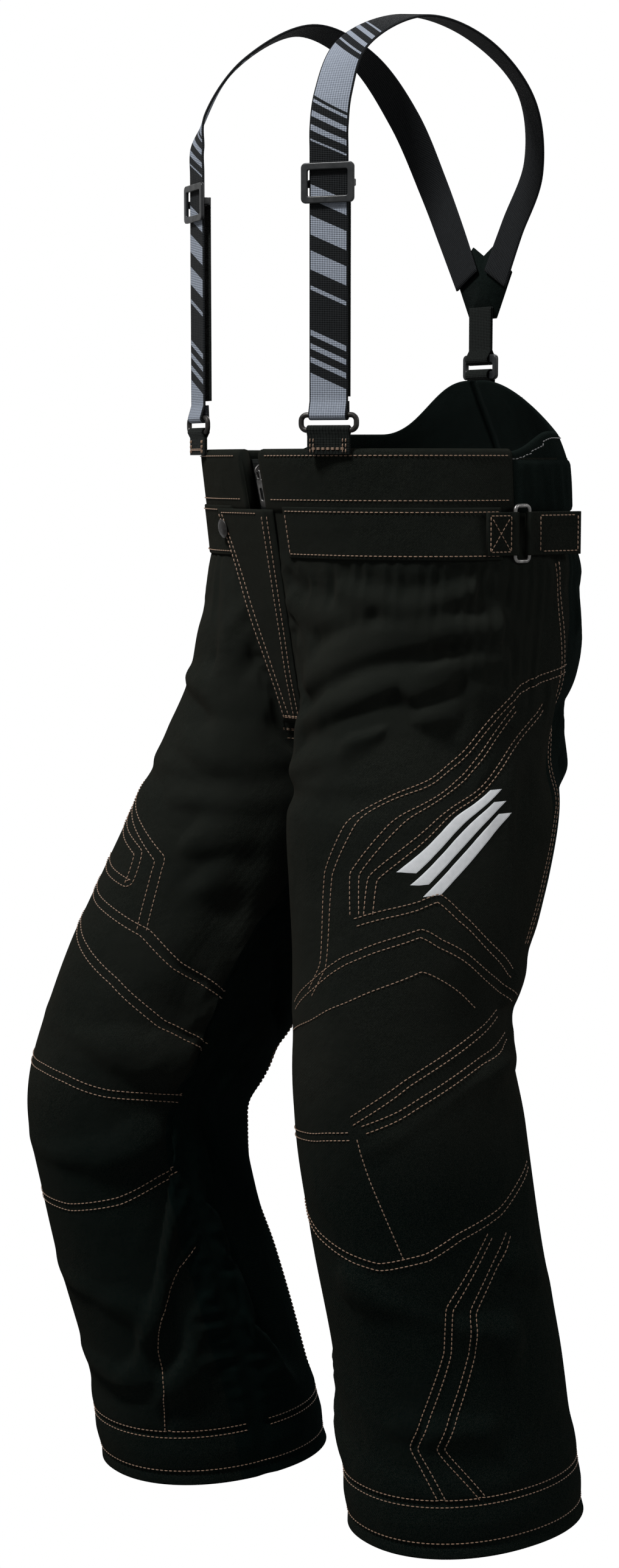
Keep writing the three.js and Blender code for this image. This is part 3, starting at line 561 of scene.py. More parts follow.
# Folds pressed into the cloth by the pose: (side, height above the cloth, width, points). Placed by eye,
# except that at least one on the right thigh comes from the same print-out.
FOLDS = [
    ("left", 3.2, 9, [(0.03, 652), (0.12, 648), (0.20, 652)]),
    ("left", 3.4, 8, [(0.16, 664), (0.28, 656), (0.40, 664)]),
    ("left", 3.6, 8, [(0.30, 600), (0.38, 618), (0.48, 622)]),
    ("left", 3.2, 8, [(0.22, 570), (0.30, 584), (0.38, 590)]),
    ("left", 4.6, 11, [(0.10, 606), (0.21, 632), (0.35, 641), (0.46, 640)]),
    ("left", 4.0, 10, [(0.07, 566), (0.14, 586), (0.24, 604), (0.36, 612)]),
    ("left", 3.4, 10, [(0.05, 534), (0.14, 552), (0.26, 570)]),
    ("left", 4.2, 16, [(0.62, 352), (0.54, 344), (0.42, 318), (0.33, 296)]),
    ("left", 4.4, 15, [(0.62, 398), (0.70, 388), (0.80, 380), (0.92, 384)]),
    ("left", 4.0, 14, [(0.66, 366), (0.76, 358), (0.90, 362)]),
    ("left", 3.0, 18, [(0.30, 200), (0.40, 176), (0.52, 160)]),
    ("left", 3.2, 18, [(0.56, 210), (0.66, 180), (0.74, 120)]),
    ("left", 2.8, 16, [(0.20, 120), (0.30, 100), (0.44, 96)]),
    ("left", 3.6, 20, [(0.72, 560), (0.80, 530), (0.90, 520)]),
    ("left", 3.4, 18, [(0.70, 640), (0.80, 610), (0.92, 600)]),
    ("right", 4.0, 15, [(0.30, 606), (0.143, 597), (0.078, 589), (0.02, 580)]),
    ("right", 4.2, 15, [(0.30, 560), (0.18, 556), (0.04, 548)]),
    ("right", 3.8, 14, [(0.28, 526), (0.16, 520), (0.03, 512)]),
    ("right", 3.6, 14, [(0.22, 492), (0.12, 488), (0.02, 480)]),
    ("right", 3.4, 13, [(0.16, 462), (0.02, 452)]),
    ("right", 4.2, 17, [(0.36, 356), (0.20, 344), (0.06, 326)]),
    ("right", 4.6, 15, [(0.72, 352), (0.82, 340), (0.94, 336)]),
    ("right", 4.2, 14, [(0.74, 318), (0.84, 306), (0.94, 302)]),
    ("right", 3.0, 18, [(0.34, 262), (0.18, 258), (0.06, 268)]),
    ("right", 3.2, 18, [(0.36, 170), (0.22, 150), (0.12, 136)]),
    ("right", 2.8, 16, [(0.30, 96), (0.20, 84), (0.08, 90)]),
    ("right", 3.8, 20, [(0.72, 560), (0.82, 530), (0.92, 520)]),
]


def curve_through(points, spacing, ease=0.5):
    """A smooth curve through points of any dimension, in steps of about spacing."""
    p = np.asarray(points, float)
    p = np.vstack([2 * p[0] - p[1], p, 2 * p[-1] - p[-2]])
    result = []
    for a, b, c, d in zip(p[:-3], p[1:-2], p[2:-1], p[3:]):
        steps = max(2, int(np.linalg.norm(c - b) / spacing))
        t = np.linspace(0, 1, steps, endpoint=False)[:, None]
        leave, arrive = ease * (c - a), ease * (d - b)
        start = (2 * t**3 - 3 * t**2 + 1) * b + (t**3 - 2 * t**2 + t) * leave
        result.append(start + (3 * t**2 - 2 * t**3) * c + (t**3 - t**2) * arrive)
    return np.vstack(result + [p[-2][None]])


ROUND = 500.0  # a half's typical way round: turns u into a length for measuring on the cloth


def on_cloth(points, spacing=1.0, ease=0.16):
    """Seam or fold points, as a fine curve in (mm round, mm up); a low ease keeps the corners."""
    return curve_through([(u * ROUND, z) for u, z in points], spacing, ease)


def distance_map(curves, flat_points):
    """Each flat point's distance from the nearest of the curves."""
    samples = np.vstack(curves)
    tree = KDTree(len(samples))
    for i, (a, b) in enumerate(samples):
        tree.insert((a, b, 0), i)
    tree.balance()
    return np.array([tree.find((a, b, 0))[2] for a, b in flat_points])


# ---------------------------------------------------------------- mesh helpers
def new_object(name, points, faces, material, smooth=True):
    mesh = bpy.data.meshes.new(name)
    mesh.from_pydata([tuple(p) for p in points], [], [tuple(f) for f in faces])
    mesh.update()
    if smooth:
        mesh.shade_smooth()
    obj = bpy.data.objects.new(name, mesh)
    obj.data.materials.append(MATERIALS[material])
    bpy.context.scene.collection.objects.link(obj)
    return obj


def grid_faces(rows, columns, wrap=False, offset=0, flip=False):
    i, j = np.meshgrid(np.arange(rows - 1), np.arange(columns if wrap else columns - 1), indexing="ij")
    k = (j + 1) % columns
    quads = np.stack([i * columns + j, i * columns + k, (i + 1) * columns + k, (i + 1) * columns + j], -1)
    quads = quads.reshape(-1, 4) + offset
    return quads[:, ::-1] if flip else quads


def add_uvs(obj, columns, across, along_length):
    """UVs for a swept grid: across (0 to 1) by column, along_length (metres) by row."""
    layer = obj.data.uv_layers.new(name="UVMap")
    loops = np.empty(len(obj.data.loops), int)
    obj.data.loops.foreach_get("vertex_index", loops)
    uv = np.stack([np.asarray(across)[loops % columns], np.asarray(along_length)[loops // columns]], -1)
    layer.data.foreach_set("uv", uv.astype(np.float32).ravel())


def unit(vectors):
    vectors = np.asarray(vectors, float)
    return vectors / np.maximum(np.linalg.norm(vectors, axis=-1, keepdims=True), 1e-9)


def outward(points, side):
    """Unit normals of a grid on one half, pointing out of the body."""
    return unit(np.cross(np.gradient(points, axis=1), np.gradient(points, axis=0))) * SIGN[side]


def closed_sheet(name, front, rear, material, flip=True):
    """A sheet with two faces, each a grid of points (rows, columns, 3), closed round the rim."""
    rows, columns = front.shape[:2]
    count = rows * columns
    faces = grid_faces(rows, columns, flip=flip).tolist()
    faces += grid_faces(rows, columns, offset=count, flip=not flip).tolist()
    ring = [(0, j) for j in range(columns)] + [(i, columns - 1) for i in range(1, rows)]
    ring += [(rows - 1, j) for j in range(columns - 2, -1, -1)] + [(i, 0) for i in range(rows - 2, 0, -1)]
    ids = [i * columns + j for i, j in ring]
    faces += [(b, a, a + count, b + count) for a, b in zip(ids, ids[1:] + ids[:1])]
    points = np.concatenate([front.reshape(-1, 3), rear.reshape(-1, 3)])
    obj = new_object(name, place(points), faces, material)
    fix_normals(obj)
    return obj


def sweep(name, sections, material, closed_ends=True, wrap_ends=False):
    """A solid through sections, each a closed loop of points: (sections, points, 3)."""
    sections = np.asarray(sections, float)
    rows, columns = sections.shape[:2]
    faces = [tuple(f) for f in grid_faces(rows, columns, wrap=True)]
    if wrap_ends:
        last = (rows - 1) * columns
        faces += [(last + j, last + (j + 1) % columns, (j + 1) % columns, j) for j in range(columns)]
    elif closed_ends:
        faces.append(tuple(range(columns - 1, -1, -1)))
        faces.append(tuple((rows - 1) * columns + j for j in range(columns)))
    obj = new_object(name, place(sections.reshape(-1, 3)), faces, material)
    fix_normals(obj)
    return obj


def fix_normals(obj):
    bm = bmesh.new()
    bm.from_mesh(obj.data)
    bmesh.ops.recalc_face_normals(bm, faces=bm.faces)
    bm.to_mesh(obj.data)
    bm.free()


def rounded_section(width, thickness, corner_steps=4, flat_steps=6):
    """A closed loop of a flat band's section, (across, out) pairs, with fully rounded edges."""
    r = thickness / 2
    half = width / 2 - r
    turn = np.linspace(-math.pi / 2, math.pi / 2, 2 * corner_steps + 1)
    right = [(half + r * math.cos(a), r * math.sin(a)) for a in turn]
    top = [(x, r) for x in np.linspace(half, -half, flat_steps + 1)[1:-1]]
    left = [(-x, -y) for x, y in right]
    bottom = [(x, -r) for x in np.linspace(-half, half, flat_steps + 1)[1:-1]]
    return np.array(right + top + left + bottom)


# ---------------------------------------------------------------- the cloth shell
SHELL_COLUMNS = 300
SHELL_ROWS = 420
SIM_COLUMNS = 84
SIM_ROWS = 126
SIM_FRAMES = 24


def half_grid(side, rows, columns, z0=0.0, z1=WAIST_Z):
    u, z = np.meshgrid(np.linspace(0, 1, columns), np.linspace(z0, z1, rows))
    return u, z, surface(side, u, z)


def simulate_cloth(side):
    """How far each point of a coarse grid moves when slightly oversized cloth hangs on the body."""
    u, z, rest = half_grid(side, SIM_ROWS, SIM_COLUMNS)
    obj = new_object("sim", rest.reshape(-1, 3) / 1000, grid_faces(SIM_ROWS, SIM_COLUMNS), "shell")
    held = np.full(u.shape, 0.035)
    held = np.maximum(held, smoothstep(z, 640, 690))
    held = np.maximum(held, 1 - smoothstep(z, 8, 50))
    edge = np.minimum(u, 1 - u)
    held = np.maximum(held, 1 - smoothstep(edge, 0.0, 0.05))
    group = obj.vertex_groups.new(name="held")
    for i, weight in enumerate(held.ravel()):
        group.add([i], float(weight), "REPLACE")
    cloth = obj.modifiers.new("cloth", "CLOTH")
    settings = {
        "vertex_group_mass": "held", "pin_stiffness": 1.2, "quality": 6, "mass": 0.35,
        "tension_stiffness": 30, "compression_stiffness": 30, "shear_stiffness": 12,
        "bending_stiffness": 1.2, "shrink_min": -0.05,
    }
    for name, value in settings.items():
        setattr(cloth.settings, name, value)
    cloth.collision_settings.use_collision = False
    cloth.point_cache.frame_start = 1
    cloth.point_cache.frame_end = SIM_FRAMES
    scene = bpy.context.scene
    for step in range(1, SIM_FRAMES + 1):
        scene.frame_set(step)
    moved = obj.evaluated_get(bpy.context.evaluated_depsgraph_get()).to_mesh()
    after = np.empty(rest.size)
    moved.vertices.foreach_get("co", after)
    shift = after.reshape(rest.shape) * 1000 - rest
    scene.frame_set(1)
    bpy.data.objects.remove(obj)
    return shift


def enlarge(values, rows, columns):
    """Bilinear enlargement of a grid, after a light smoothing."""
    padded = np.pad(values, ((1, 1), (1, 1), (0, 0)), mode="edge")
    middle = padded[1:-1, 1:-1]
    around = padded[:-2, 1:-1] + padded[2:, 1:-1] + padded[1:-1, :-2] + padded[1:-1, 2:]
    smooth = 0.6 * middle + 0.1 * around
    i = np.linspace(0, values.shape[0] - 1, rows)
    j = np.linspace(0, values.shape[1] - 1, columns)
    i0 = np.minimum(i.astype(int), values.shape[0] - 2)
    j0 = np.minimum(j.astype(int), values.shape[1] - 2)
    ti = smoothstep(i - i0, 0, 1)[:, None, None] * 0.5 + 0.5 * (i - i0)[:, None, None]
    tj = smoothstep(j - j0, 0, 1)[None, :, None] * 0.5 + 0.5 * (j - j0)[None, :, None]
    top = smooth[i0][:, j0] * (1 - tj) + smooth[i0][:, j0 + 1] * tj
    bottom = smooth[i0 + 1][:, j0] * (1 - tj) + smooth[i0 + 1][:, j0 + 1] * tj
    return top * (1 - ti) + bottom * ti


FOLD_SCALE = 1.6
MOST_DRIFT = 7.0  # how far the simulated cloth may move
MOST_PROUD = 8.0  # how far it may stand out, with its folds
MOST_SUNK = 2.2  # how far it may sink in
PUFF = 2.5  # how far the wadding swells between seams
GROOVE = 1.1  # how far a seam sinks
FLOOR_GAP = 0.4  # the cloth's lowest point


def shell_points(side):
    """The finished outer cloth of one half: u, z, points and normals on a fine grid."""
    u, z, base = half_grid(side, SHELL_ROWS, SHELL_COLUMNS)
    normal = outward(base, side)
    shift = enlarge(simulate_cloth(side), SHELL_ROWS, SHELL_COLUMNS)
    shift *= (MOST_DRIFT / np.maximum(np.linalg.norm(shift, axis=-1), MOST_DRIFT))[..., None]
    flat = np.stack([u * ROUND, z], -1).reshape(-1, 2)

    seams = [on_cloth(points) for _, points in SEAMS["both"] + SEAMS[side]]
    d = distance_map(seams, flat).reshape(u.shape)
    calm = 1 - smoothstep(z, 672, 700)  # the waist is held flat by the band and belt
    puff = PUFF * (1 - np.exp(-d / 11)) * calm
    groove = -GROOVE * np.exp(-((d / 1.7) ** 2))

    folds = np.zeros_like(z)
    for _, height, width, points in (f for f in FOLDS if f[0] == side):
        curve = on_cloth(points, 3.0, 0.5)
        away = distance_map([curve], flat).reshape(u.shape)
        crest = FOLD_SCALE * np.exp(-((away / width) ** 2))
        trough = 0.8 * np.exp(-(((away - 1.5 * width) / width) ** 2))
        folds += height * (crest - trough)
    edge = smoothstep(np.minimum(u, 1 - u), 0.0, 0.03)
    hem = smoothstep(z, 20, 70)
    shift *= (smoothstep(z, 38, 110) * calm)[..., None]
    proud = (shift * normal).sum(-1)
    shift -= proud[..., None] * normal
    lift = puff + groove + folds * calm * edge * hem + 1.6 * proud
    rise = MOST_PROUD * np.tanh(np.maximum(lift, 0) / MOST_PROUD)
    lift = rise + MOST_SUNK * np.tanh(np.minimum(lift, 0) / MOST_SUNK)
    points = base + shift + normal * (lift * np.minimum(1, 0.25 + edge))[..., None]
    joint = np.exp(-(((z - CROTCH_Z) / 9) ** 2)) + np.exp(-(((z - FLY_FOOT_Z) / 9) ** 2))
    for _ in range(40):  # even out the rows where the legs meet
        middle = (points[:-2] + points[2:]) / 2
        points[1:-1] += 0.5 * np.minimum(joint[1:-1], 1)[..., None] * (middle - points[1:-1])
    points[..., 2] = np.where(z < 1e-6, FLOOR_GAP, np.maximum(points[..., 2], FLOOR_GAP))
    return {"u": u, "z": z, "points": points, "normals": outward(points, side)}


def at(half, u, z, stand=0.0):
    """Points and normals on a finished half at (u, z), standing off the cloth."""
    i = np.clip(np.asarray(z, float) / WAIST_Z * (SHELL_ROWS - 1), 0, SHELL_ROWS - 1.001)
    j = np.clip(np.asarray(u, float) * (SHELL_COLUMNS - 1), 0, SHELL_COLUMNS - 1.001)
    i0, j0 = i.astype(int), j.astype(int)
    ti, tj = (i - i0)[..., None], (j - j0)[..., None]

    def sample(grid):
        top = grid[i0, j0] * (1 - tj) + grid[i0, j0 + 1] * tj
        bottom = grid[i0 + 1, j0] * (1 - tj) + grid[i0 + 1, j0 + 1] * tj
        return top * (1 - ti) + bottom * ti

    n = unit(sample(half["normals"]))
    return sample(half["points"]) + np.asarray(stand)[..., None] * n, n


PANELS = [
    "front_hip_panel", "front_thigh_panel", "thigh_inset_panel", "knee_panel", "under_knee_panel",
    "shin_panel", "back_upper_panel", "back_calf_panel", "hem_band", "insulation",
]
FRONT_SHARE = 0.655  # the front cloth reaches this far round, and the plainer back cloth goes on behind it
# The hem's inner face and rolled edge: depth below the cloth and height, from inside to outside.
HEM_TURN = [(3.4, 36), (3.4, 6), (3.1, 2.2), (2.4, 0.7), (1.6, 0.2), (0.8, 0.6)]


def hem_turn(points, normals):
    """Rows that roll the doubled hem under and up inside."""
    rows = []
    for depth, height in HEM_TURN:
        k = round(height / WAIST_Z * (SHELL_ROWS - 1))
        row = points[k] - depth * normals[max(k, 3)] * np.array([1, 1, 0])
        row[:, 2] = height
        rows.append(row)
    return np.array(rows)


def build_shell(side):
    half = shell_points(side)
    points = np.concatenate([hem_turn(half["points"], half["normals"]), half["points"]])
    rows = points.shape[0]
    faces = grid_faces(rows, SHELL_COLUMNS, flip=side == "right")
    obj = new_object(f"{side}_shell", place(points.reshape(-1, 3)), faces, "shell")
    obj.data.materials.append(MATERIALS["back"])
    columns = np.tile(np.arange(SHELL_COLUMNS - 1), rows - 1)
    levels = np.concatenate([np.zeros(len(HEM_TURN)), np.linspace(0, WAIST_Z, SHELL_ROWS)])
    heights = np.repeat(levels[:-1], SHELL_COLUMNS - 1)
    share = columns / (SHELL_COLUMNS - 1)
    behind = (share > FRONT_SHARE) | (share < 0.045 * (heights < 530))
    obj.data.polygons.foreach_set("material_index", behind.astype(np.int32))
    declare(obj, "trousers", "shell_black", *[f"{side}_{name}" for name in PANELS])
    return half


LINING_DEPTH = 6.7
LINING_HEIGHTS = (14.0, 713.0)
DIAMOND = 62.0  # pitch of the quilting


def build_lining(side):
    """The quilted lining: a plain sheet inside the wadding, sewn down in a diamond grid."""
    rows, columns = 170, 110
    u, z, base = half_grid(side, rows, columns, *LINING_HEIGHTS)
    normal = outward(base, side)
    a = (u * ROUND + z) / DIAMOND
    b = (u * ROUND - z) / DIAMOND
    line = np.minimum(np.abs(a - np.round(a)), np.abs(b - np.round(b))) * DIAMOND
    depth = LINING_DEPTH + 1.4 * (1 - np.exp(-line / 7))
    points = base - depth[..., None] * normal
    faces = grid_faces(rows, columns, flip=side == "right")
    obj = new_object(f"{side}_lining_quilt", place(points.reshape(-1, 3)), faces, "lining")
    declare(obj, "trousers", "lining_black", f"{side}_lining")


KNEE_COLUMNS = (2, 10)
KNEE_HEIGHTS = (288, 417)


def build_knee_pad(side):
    """A soft foam pad behind the lining, domed and thinner at its edge."""
    rows, columns = 44, 40
    u, z = np.meshgrid(np.linspace(*KNEE_COLUMNS, columns) / CAD_COLUMNS, np.linspace(*KNEE_HEIGHTS, rows))
    base = surface(side, u, z)
    normal = outward(base, side)
    across = np.abs(np.linspace(-1, 1, columns))[None, :]
    up = np.abs(np.linspace(-1, 1, rows))[:, None]
    dome = np.clip(1 - (across**4 + up**4), 0, 1) ** 0.35
    ribs = 0.5 * np.cos((z - 352) / 9)
    front = base - 9.2 * normal
    rear = base - (9.4 + (4.2 + ribs) * dome)[..., None] * normal
    obj = closed_sheet(f"{side}_knee_foam", front, rear, "foam", flip=side == "right")
    declare(obj, "trousers", "knee_foam", f"{side}_knee_pad")


# ---------------------------------------------------------------- stitches
STITCH_PITCH = 3.4
STITCH_LENGTH = 2.5
THREAD = 0.42  # radius
# Rings of one stitch: place along it from -1 to 1, share of the radius, and how far it sinks in radii.
STITCH_RINGS = [(-1, 0.25, 0.35), (-0.6, 0.85, 0.05), (0, 1.0, 0.0), (0.6, 0.85, 0.05), (1, 0.25, 0.35)]
STITCH_SIDES = 5
STITCH_POINTS = len(STITCH_RINGS) * STITCH_SIDES


class Stitching:
    """Collects thread stitches, each a small five-sided bead, into one mesh."""

    def __init__(self):
        self.points = []
        self.faces = []
        self.count = 0

    def row(self, path, normals):
        """One row of stitches along a dense path (n, 3) on the cloth."""
        step = np.linalg.norm(np.diff(path, axis=0), axis=1)
        length = np.concatenate([[0], np.cumsum(step)])
        centres = np.arange(STITCH_PITCH / 2, length[-1] - STITCH_PITCH / 3, STITCH_PITCH)
        if len(centres) == 0:
            return

        def pick(at_lengths, values):
            return np.stack([np.interp(at_lengths, length, values[:, k]) for k in range(3)], -1)

        middle = pick(centres, path)
        before = pick(centres - STITCH_LENGTH / 2, path)
        after = pick(centres + STITCH_LENGTH / 2, path)
        n = unit(pick(centres, normals))
        tangent = unit(after - before)
        side = np.cross(tangent, n)
        beads = []
        for share, size, sink in STITCH_RINGS:
            centre = middle + tangent * share * STITCH_LENGTH / 2 + n * (THREAD * (0.55 - sink))
            for k in range(STITCH_SIDES):
                a = 2 * math.pi * k / STITCH_SIDES
                beads.append(centre + size * THREAD * (math.cos(a) * side + math.sin(a) * n))
        base = self.count + np.arange(len(centres)) * STITCH_POINTS
        shape = grid_faces(len(STITCH_RINGS), STITCH_SIDES, wrap=True)
        self.faces.append((base[:, None, None] + shape[None]).reshape(-1, 4))
        self.points.append(np.stack(beads, 1).reshape(-1, 3))
        self.count += STITCH_POINTS * len(centres)

    def line(self, start, end, out, count=24):
        """A straight row of stitches."""
        self.row(np.linspace(start, end, count), np.tile(np.array(out, float), (count, 1)))

    def on_half(self, half, curve, offset=0.0, stand=0.15):
        """A row along a curve from on_cloth(), moved sideways by offset on the cloth."""
        direction = unit(np.gradient(curve, axis=0))
        moved = curve + offset * np.stack([-direction[:, 1], direction[:, 0]], -1)
        path, n = at(half, moved[:, 0] / ROUND, moved[:, 1], stand)
        self.row(path, n)

    def finish(self, name, body, material="thread", slot="shell_black"):
        declare(new_object(name, place(np.vstack(self.points)), np.vstack(self.faces), material), body, slot)


SEAM_OFFSETS = {"double": (2.6, -2.6), "single": (2.4,)}


def sew_seams(side, half):
    thread = Stitching()
    for kind, points in SEAMS["both"] + SEAMS[side]:
        for offset in SEAM_OFFSETS[kind]:
            thread.on_half(half, on_cloth(points), offset)
    return thread


# ---------------------------------------------------------------- waistband, belt strips and yoke
BAND_FOOT = 714.0
BAND_TOP = 758.0  # the doubled cloth's soft edge stands above the firm band
BAND_DEPTHS = (-1.8, 7.6)  # outer and inner faces, below the surface
BAND_THREAD_Z = (753.0, 722.5)
BELT_Z = (684.0, 719.0)
BELT_DEPTHS = (-3.2, -1.0)
BELT_THREAD = 3.4  # its stitches stand off the surface by this
BELT_COLUMNS = (1.0, 11.1)
YOKE_FOOT = 748.0
YOKE_DEPTHS = (0.6, 4.4)
YOKE_RISE = 56.0
YOKE_LEAN = 0.5  # forward per unit of height


def loop_section(low, high, outer, inner, steps=5):
    """A band's section as (height, depth) pairs, round at top and bottom; outer and inner are depths."""
    middle = (outer + inner) / 2
    r = (inner - outer) / 2
    turn = np.linspace(0, math.pi, steps + 2)
    top = [(high - r + r * math.sin(a), middle - r * math.cos(a)) for a in turn]
    bottom = [(low + r - r * math.sin(a), middle + r * math.cos(a)) for a in turn]
    outside = [(h, outer) for h in np.linspace(low + r, high - r, 8)[1:-1]]
    inside = [(h, inner) for h in np.linspace(high - r, low + r, 4)[1:-1]]
    return top + inside + bottom + outside


def level_out(side, way):
    """Level unit normals of one half, from the way round it."""
    return unit(np.stack([way[..., 1], -way[..., 0], 0 * way[..., 0]], -1)) * SIGN[side]


def out_at(side, u, z):
    """Level unit normals of one half's surface at shares u, all at the height z."""
    z = z + 0 * u
    return level_out(side, surface(side, u + 0.004, z) - surface(side, u - 0.004, z))


def band_columns(side, columns, low, high, outer, inner, ripple=0.0):
    """Sections of a band on one half, at the given CAD columns."""
    heights, depths = np.array(loop_section(low, high, outer, inner)).T
    u, z = np.meshgrid(np.asarray(columns) / CAD_COLUMNS, heights, indexing="ij")
    base = surface(side, u, np.minimum(z, WAIST_Z))
    n = out_at(side, u[:, :1], 740)
    wave = ripple * np.sin(CAD_COLUMNS * u * 6.1) * np.sin((z - low) / (high - low) * math.pi)
    sections = base - (depths - wave)[..., None] * n
    sections[..., 2] = z
    return sections


def build_waistband():
    for side in SIGN:
        sections = band_columns(side, np.linspace(0.03, 11.98, 90), BAND_FOOT, BAND_TOP, *BAND_DEPTHS)
        obj = sweep(f"{side}_waistband_front", sections, "shell")
        declare(obj, "trousers", "shell_black", f"{side}_front_waistband")
    columns = np.linspace(12.02, 23.97, 150)
    left = band_columns("left", columns, BAND_FOOT, WAIST_Z, *BAND_DEPTHS, ripple=0.7)
    right = band_columns("right", columns[::-1], BAND_FOOT, WAIST_Z, *BAND_DEPTHS, ripple=0.7)
    obj = sweep("waistband_back_elastic", np.concatenate([left, right]), "back")
    declare(obj, "trousers", "shell_black_back", "back_waistband")


def sew_waist(side, thread):
    """One row under the waistband's top edge and one along its seam, from the fly to the side."""
    sections = band_columns(side, np.linspace(0.35, 11.8, 260), BAND_FOOT, BAND_TOP, *BAND_DEPTHS)
    heights, depths = np.array(loop_section(BAND_FOOT, BAND_TOP, *BAND_DEPTHS)).T
    for height in BAND_THREAD_Z:
        nearest = np.argmin(np.abs(heights - height) + 3 * np.abs(depths - BAND_DEPTHS[0]))
        path = sections[:, int(nearest)]
        n = level_out(side, np.gradient(path, axis=0))
        thread.row(path + 0.15 * n, n)


def sew_belt(side, thread, column, height):
    """One row on a belt strip, along it or up it: column and height are the same or arrays."""
    column, height = np.broadcast_arrays(np.asarray(column, float), np.asarray(height, float))
    u = column / CAD_COLUMNS
    n = out_at(side, u, 702)
    thread.row(surface(side, u, height) + BELT_THREAD * n, n)


def build_belt(side, thread):
    sections = band_columns(side, np.linspace(*BELT_COLUMNS, 80), *BELT_Z, *BELT_DEPTHS)
    obj = sweep(f"{side}_belt", sections, "shell")
    declare(obj, "trousers", "shell_black", f"{side}_waist_belt_strip")
    low, high = BELT_Z[0] + 3, BELT_Z[1] - 3
    first, last = BELT_COLUMNS
    for height in (low, high):
        sew_belt(side, thread, np.linspace(first + 0.1, last - 0.1, 200), height)
    for column in (first + 0.12, last - 0.1):
        sew_belt(side, thread, column, np.linspace(low, high, 30))


def build_yoke():
    """The back yoke, softly padded, rising to the ring at the centre back and leaning forward."""
    sections, crest, crest_out = [], [], []
    round_the_back = np.linspace(12.03, 23.97, 110)
    for side, columns in (("left", round_the_back), ("right", round_the_back[::-1])):
        t = (columns - 12) / 12
        rise = 4 + 14 * smoothstep(t, 0, 0.35) + (YOKE_RISE - 18) * smoothstep(t, 0.5, 0.97)
        pairs = np.array([loop_section(YOKE_FOOT, WAIST_Z + r, *YOKE_DEPTHS) for r in rise])
        heights, depths = pairs[..., 0], pairs[..., 1]
        share = np.clip((heights - YOKE_FOOT) / (rise + WAIST_Z - YOKE_FOOT)[:, None], 0, 1)
        swell = 0.5 * np.sin(share * math.pi) * np.where(depths < 2.5, 1, -1)
        u = np.repeat(columns[:, None] / CAD_COLUMNS, heights.shape[1], axis=1)
        base = surface(side, u, np.minimum(heights, WAIST_Z))
        n = out_at(side, u[:, :1], 750)
        section = base - (depths - swell)[..., None] * n
        section[..., 2] = heights
        section[..., 1] -= YOKE_LEAN * np.maximum(heights - WAIST_Z, 0)
        sections.append(section)
        off = np.abs(heights - (WAIST_Z + rise - 5)[:, None]) + 4 * np.abs(depths - YOKE_DEPTHS[0])
        crest.append(section[np.arange(len(off)), off.argmin(axis=1)] + 0.3 * n[:, 0])
        crest_out.append(n[:, 0])
    obj = sweep("back_yoke_padded", np.concatenate(sections), "back")
    declare(obj, "trousers", "shell_black_back", "back_yoke")
    thread = Stitching()
    thread.row(np.concatenate(crest), np.concatenate(crest_out))
    thread.finish("yoke_topstitch", "trousers", "dark_thread", "shell_black_back")


# ---------------------------------------------------------------- wire loops, plates and strips
def rounded_rectangle(width, height, radius, steps):
    """Points (across, up) round a rectangle with round corners, each with its outward direction."""
    path = []
    across, up = width / 2 - radius, height / 2 - radius
    for quarter, (sx, sz) in enumerate([(1, 1), (-1, 1), (-1, -1), (1, -1)]):
        for a in np.linspace(quarter, quarter + 1, steps) * math.pi / 2:
            x, z = math.cos(a), math.sin(a)
            path.append((sx * across + radius * x, sz * up + radius * z, x, z))
    return path


def wire_ring(centre, first, second, first_radius, second_radius, sides):
    """A wire's section: points round centre in the plane of two unit directions."""
    turns = np.linspace(0, 2 * math.pi, sides + 1)[:-1]
    return [centre + first_radius * math.cos(b) * first + second_radius * math.sin(b) * second for b in turns]


def wire_loop(name, width, height, corner, wire, axes, origin, material, body, slot, replaced):
    """A closed rounded rectangle of round wire; axes are its width, height and facing directions."""
    wide, tall, facing = (np.array(v, float) for v in axes)
    sections = []
    for x, z, ox, oz in rounded_rectangle(width, height, corner, 9):
        centre = np.array(origin) + x * wide + z * tall
        sections.append(wire_ring(centre, ox * wide + oz * tall, facing, wire, wire, 14))
    declare(sweep(name, sections, material, wrap_ends=True), body, slot, replaced)


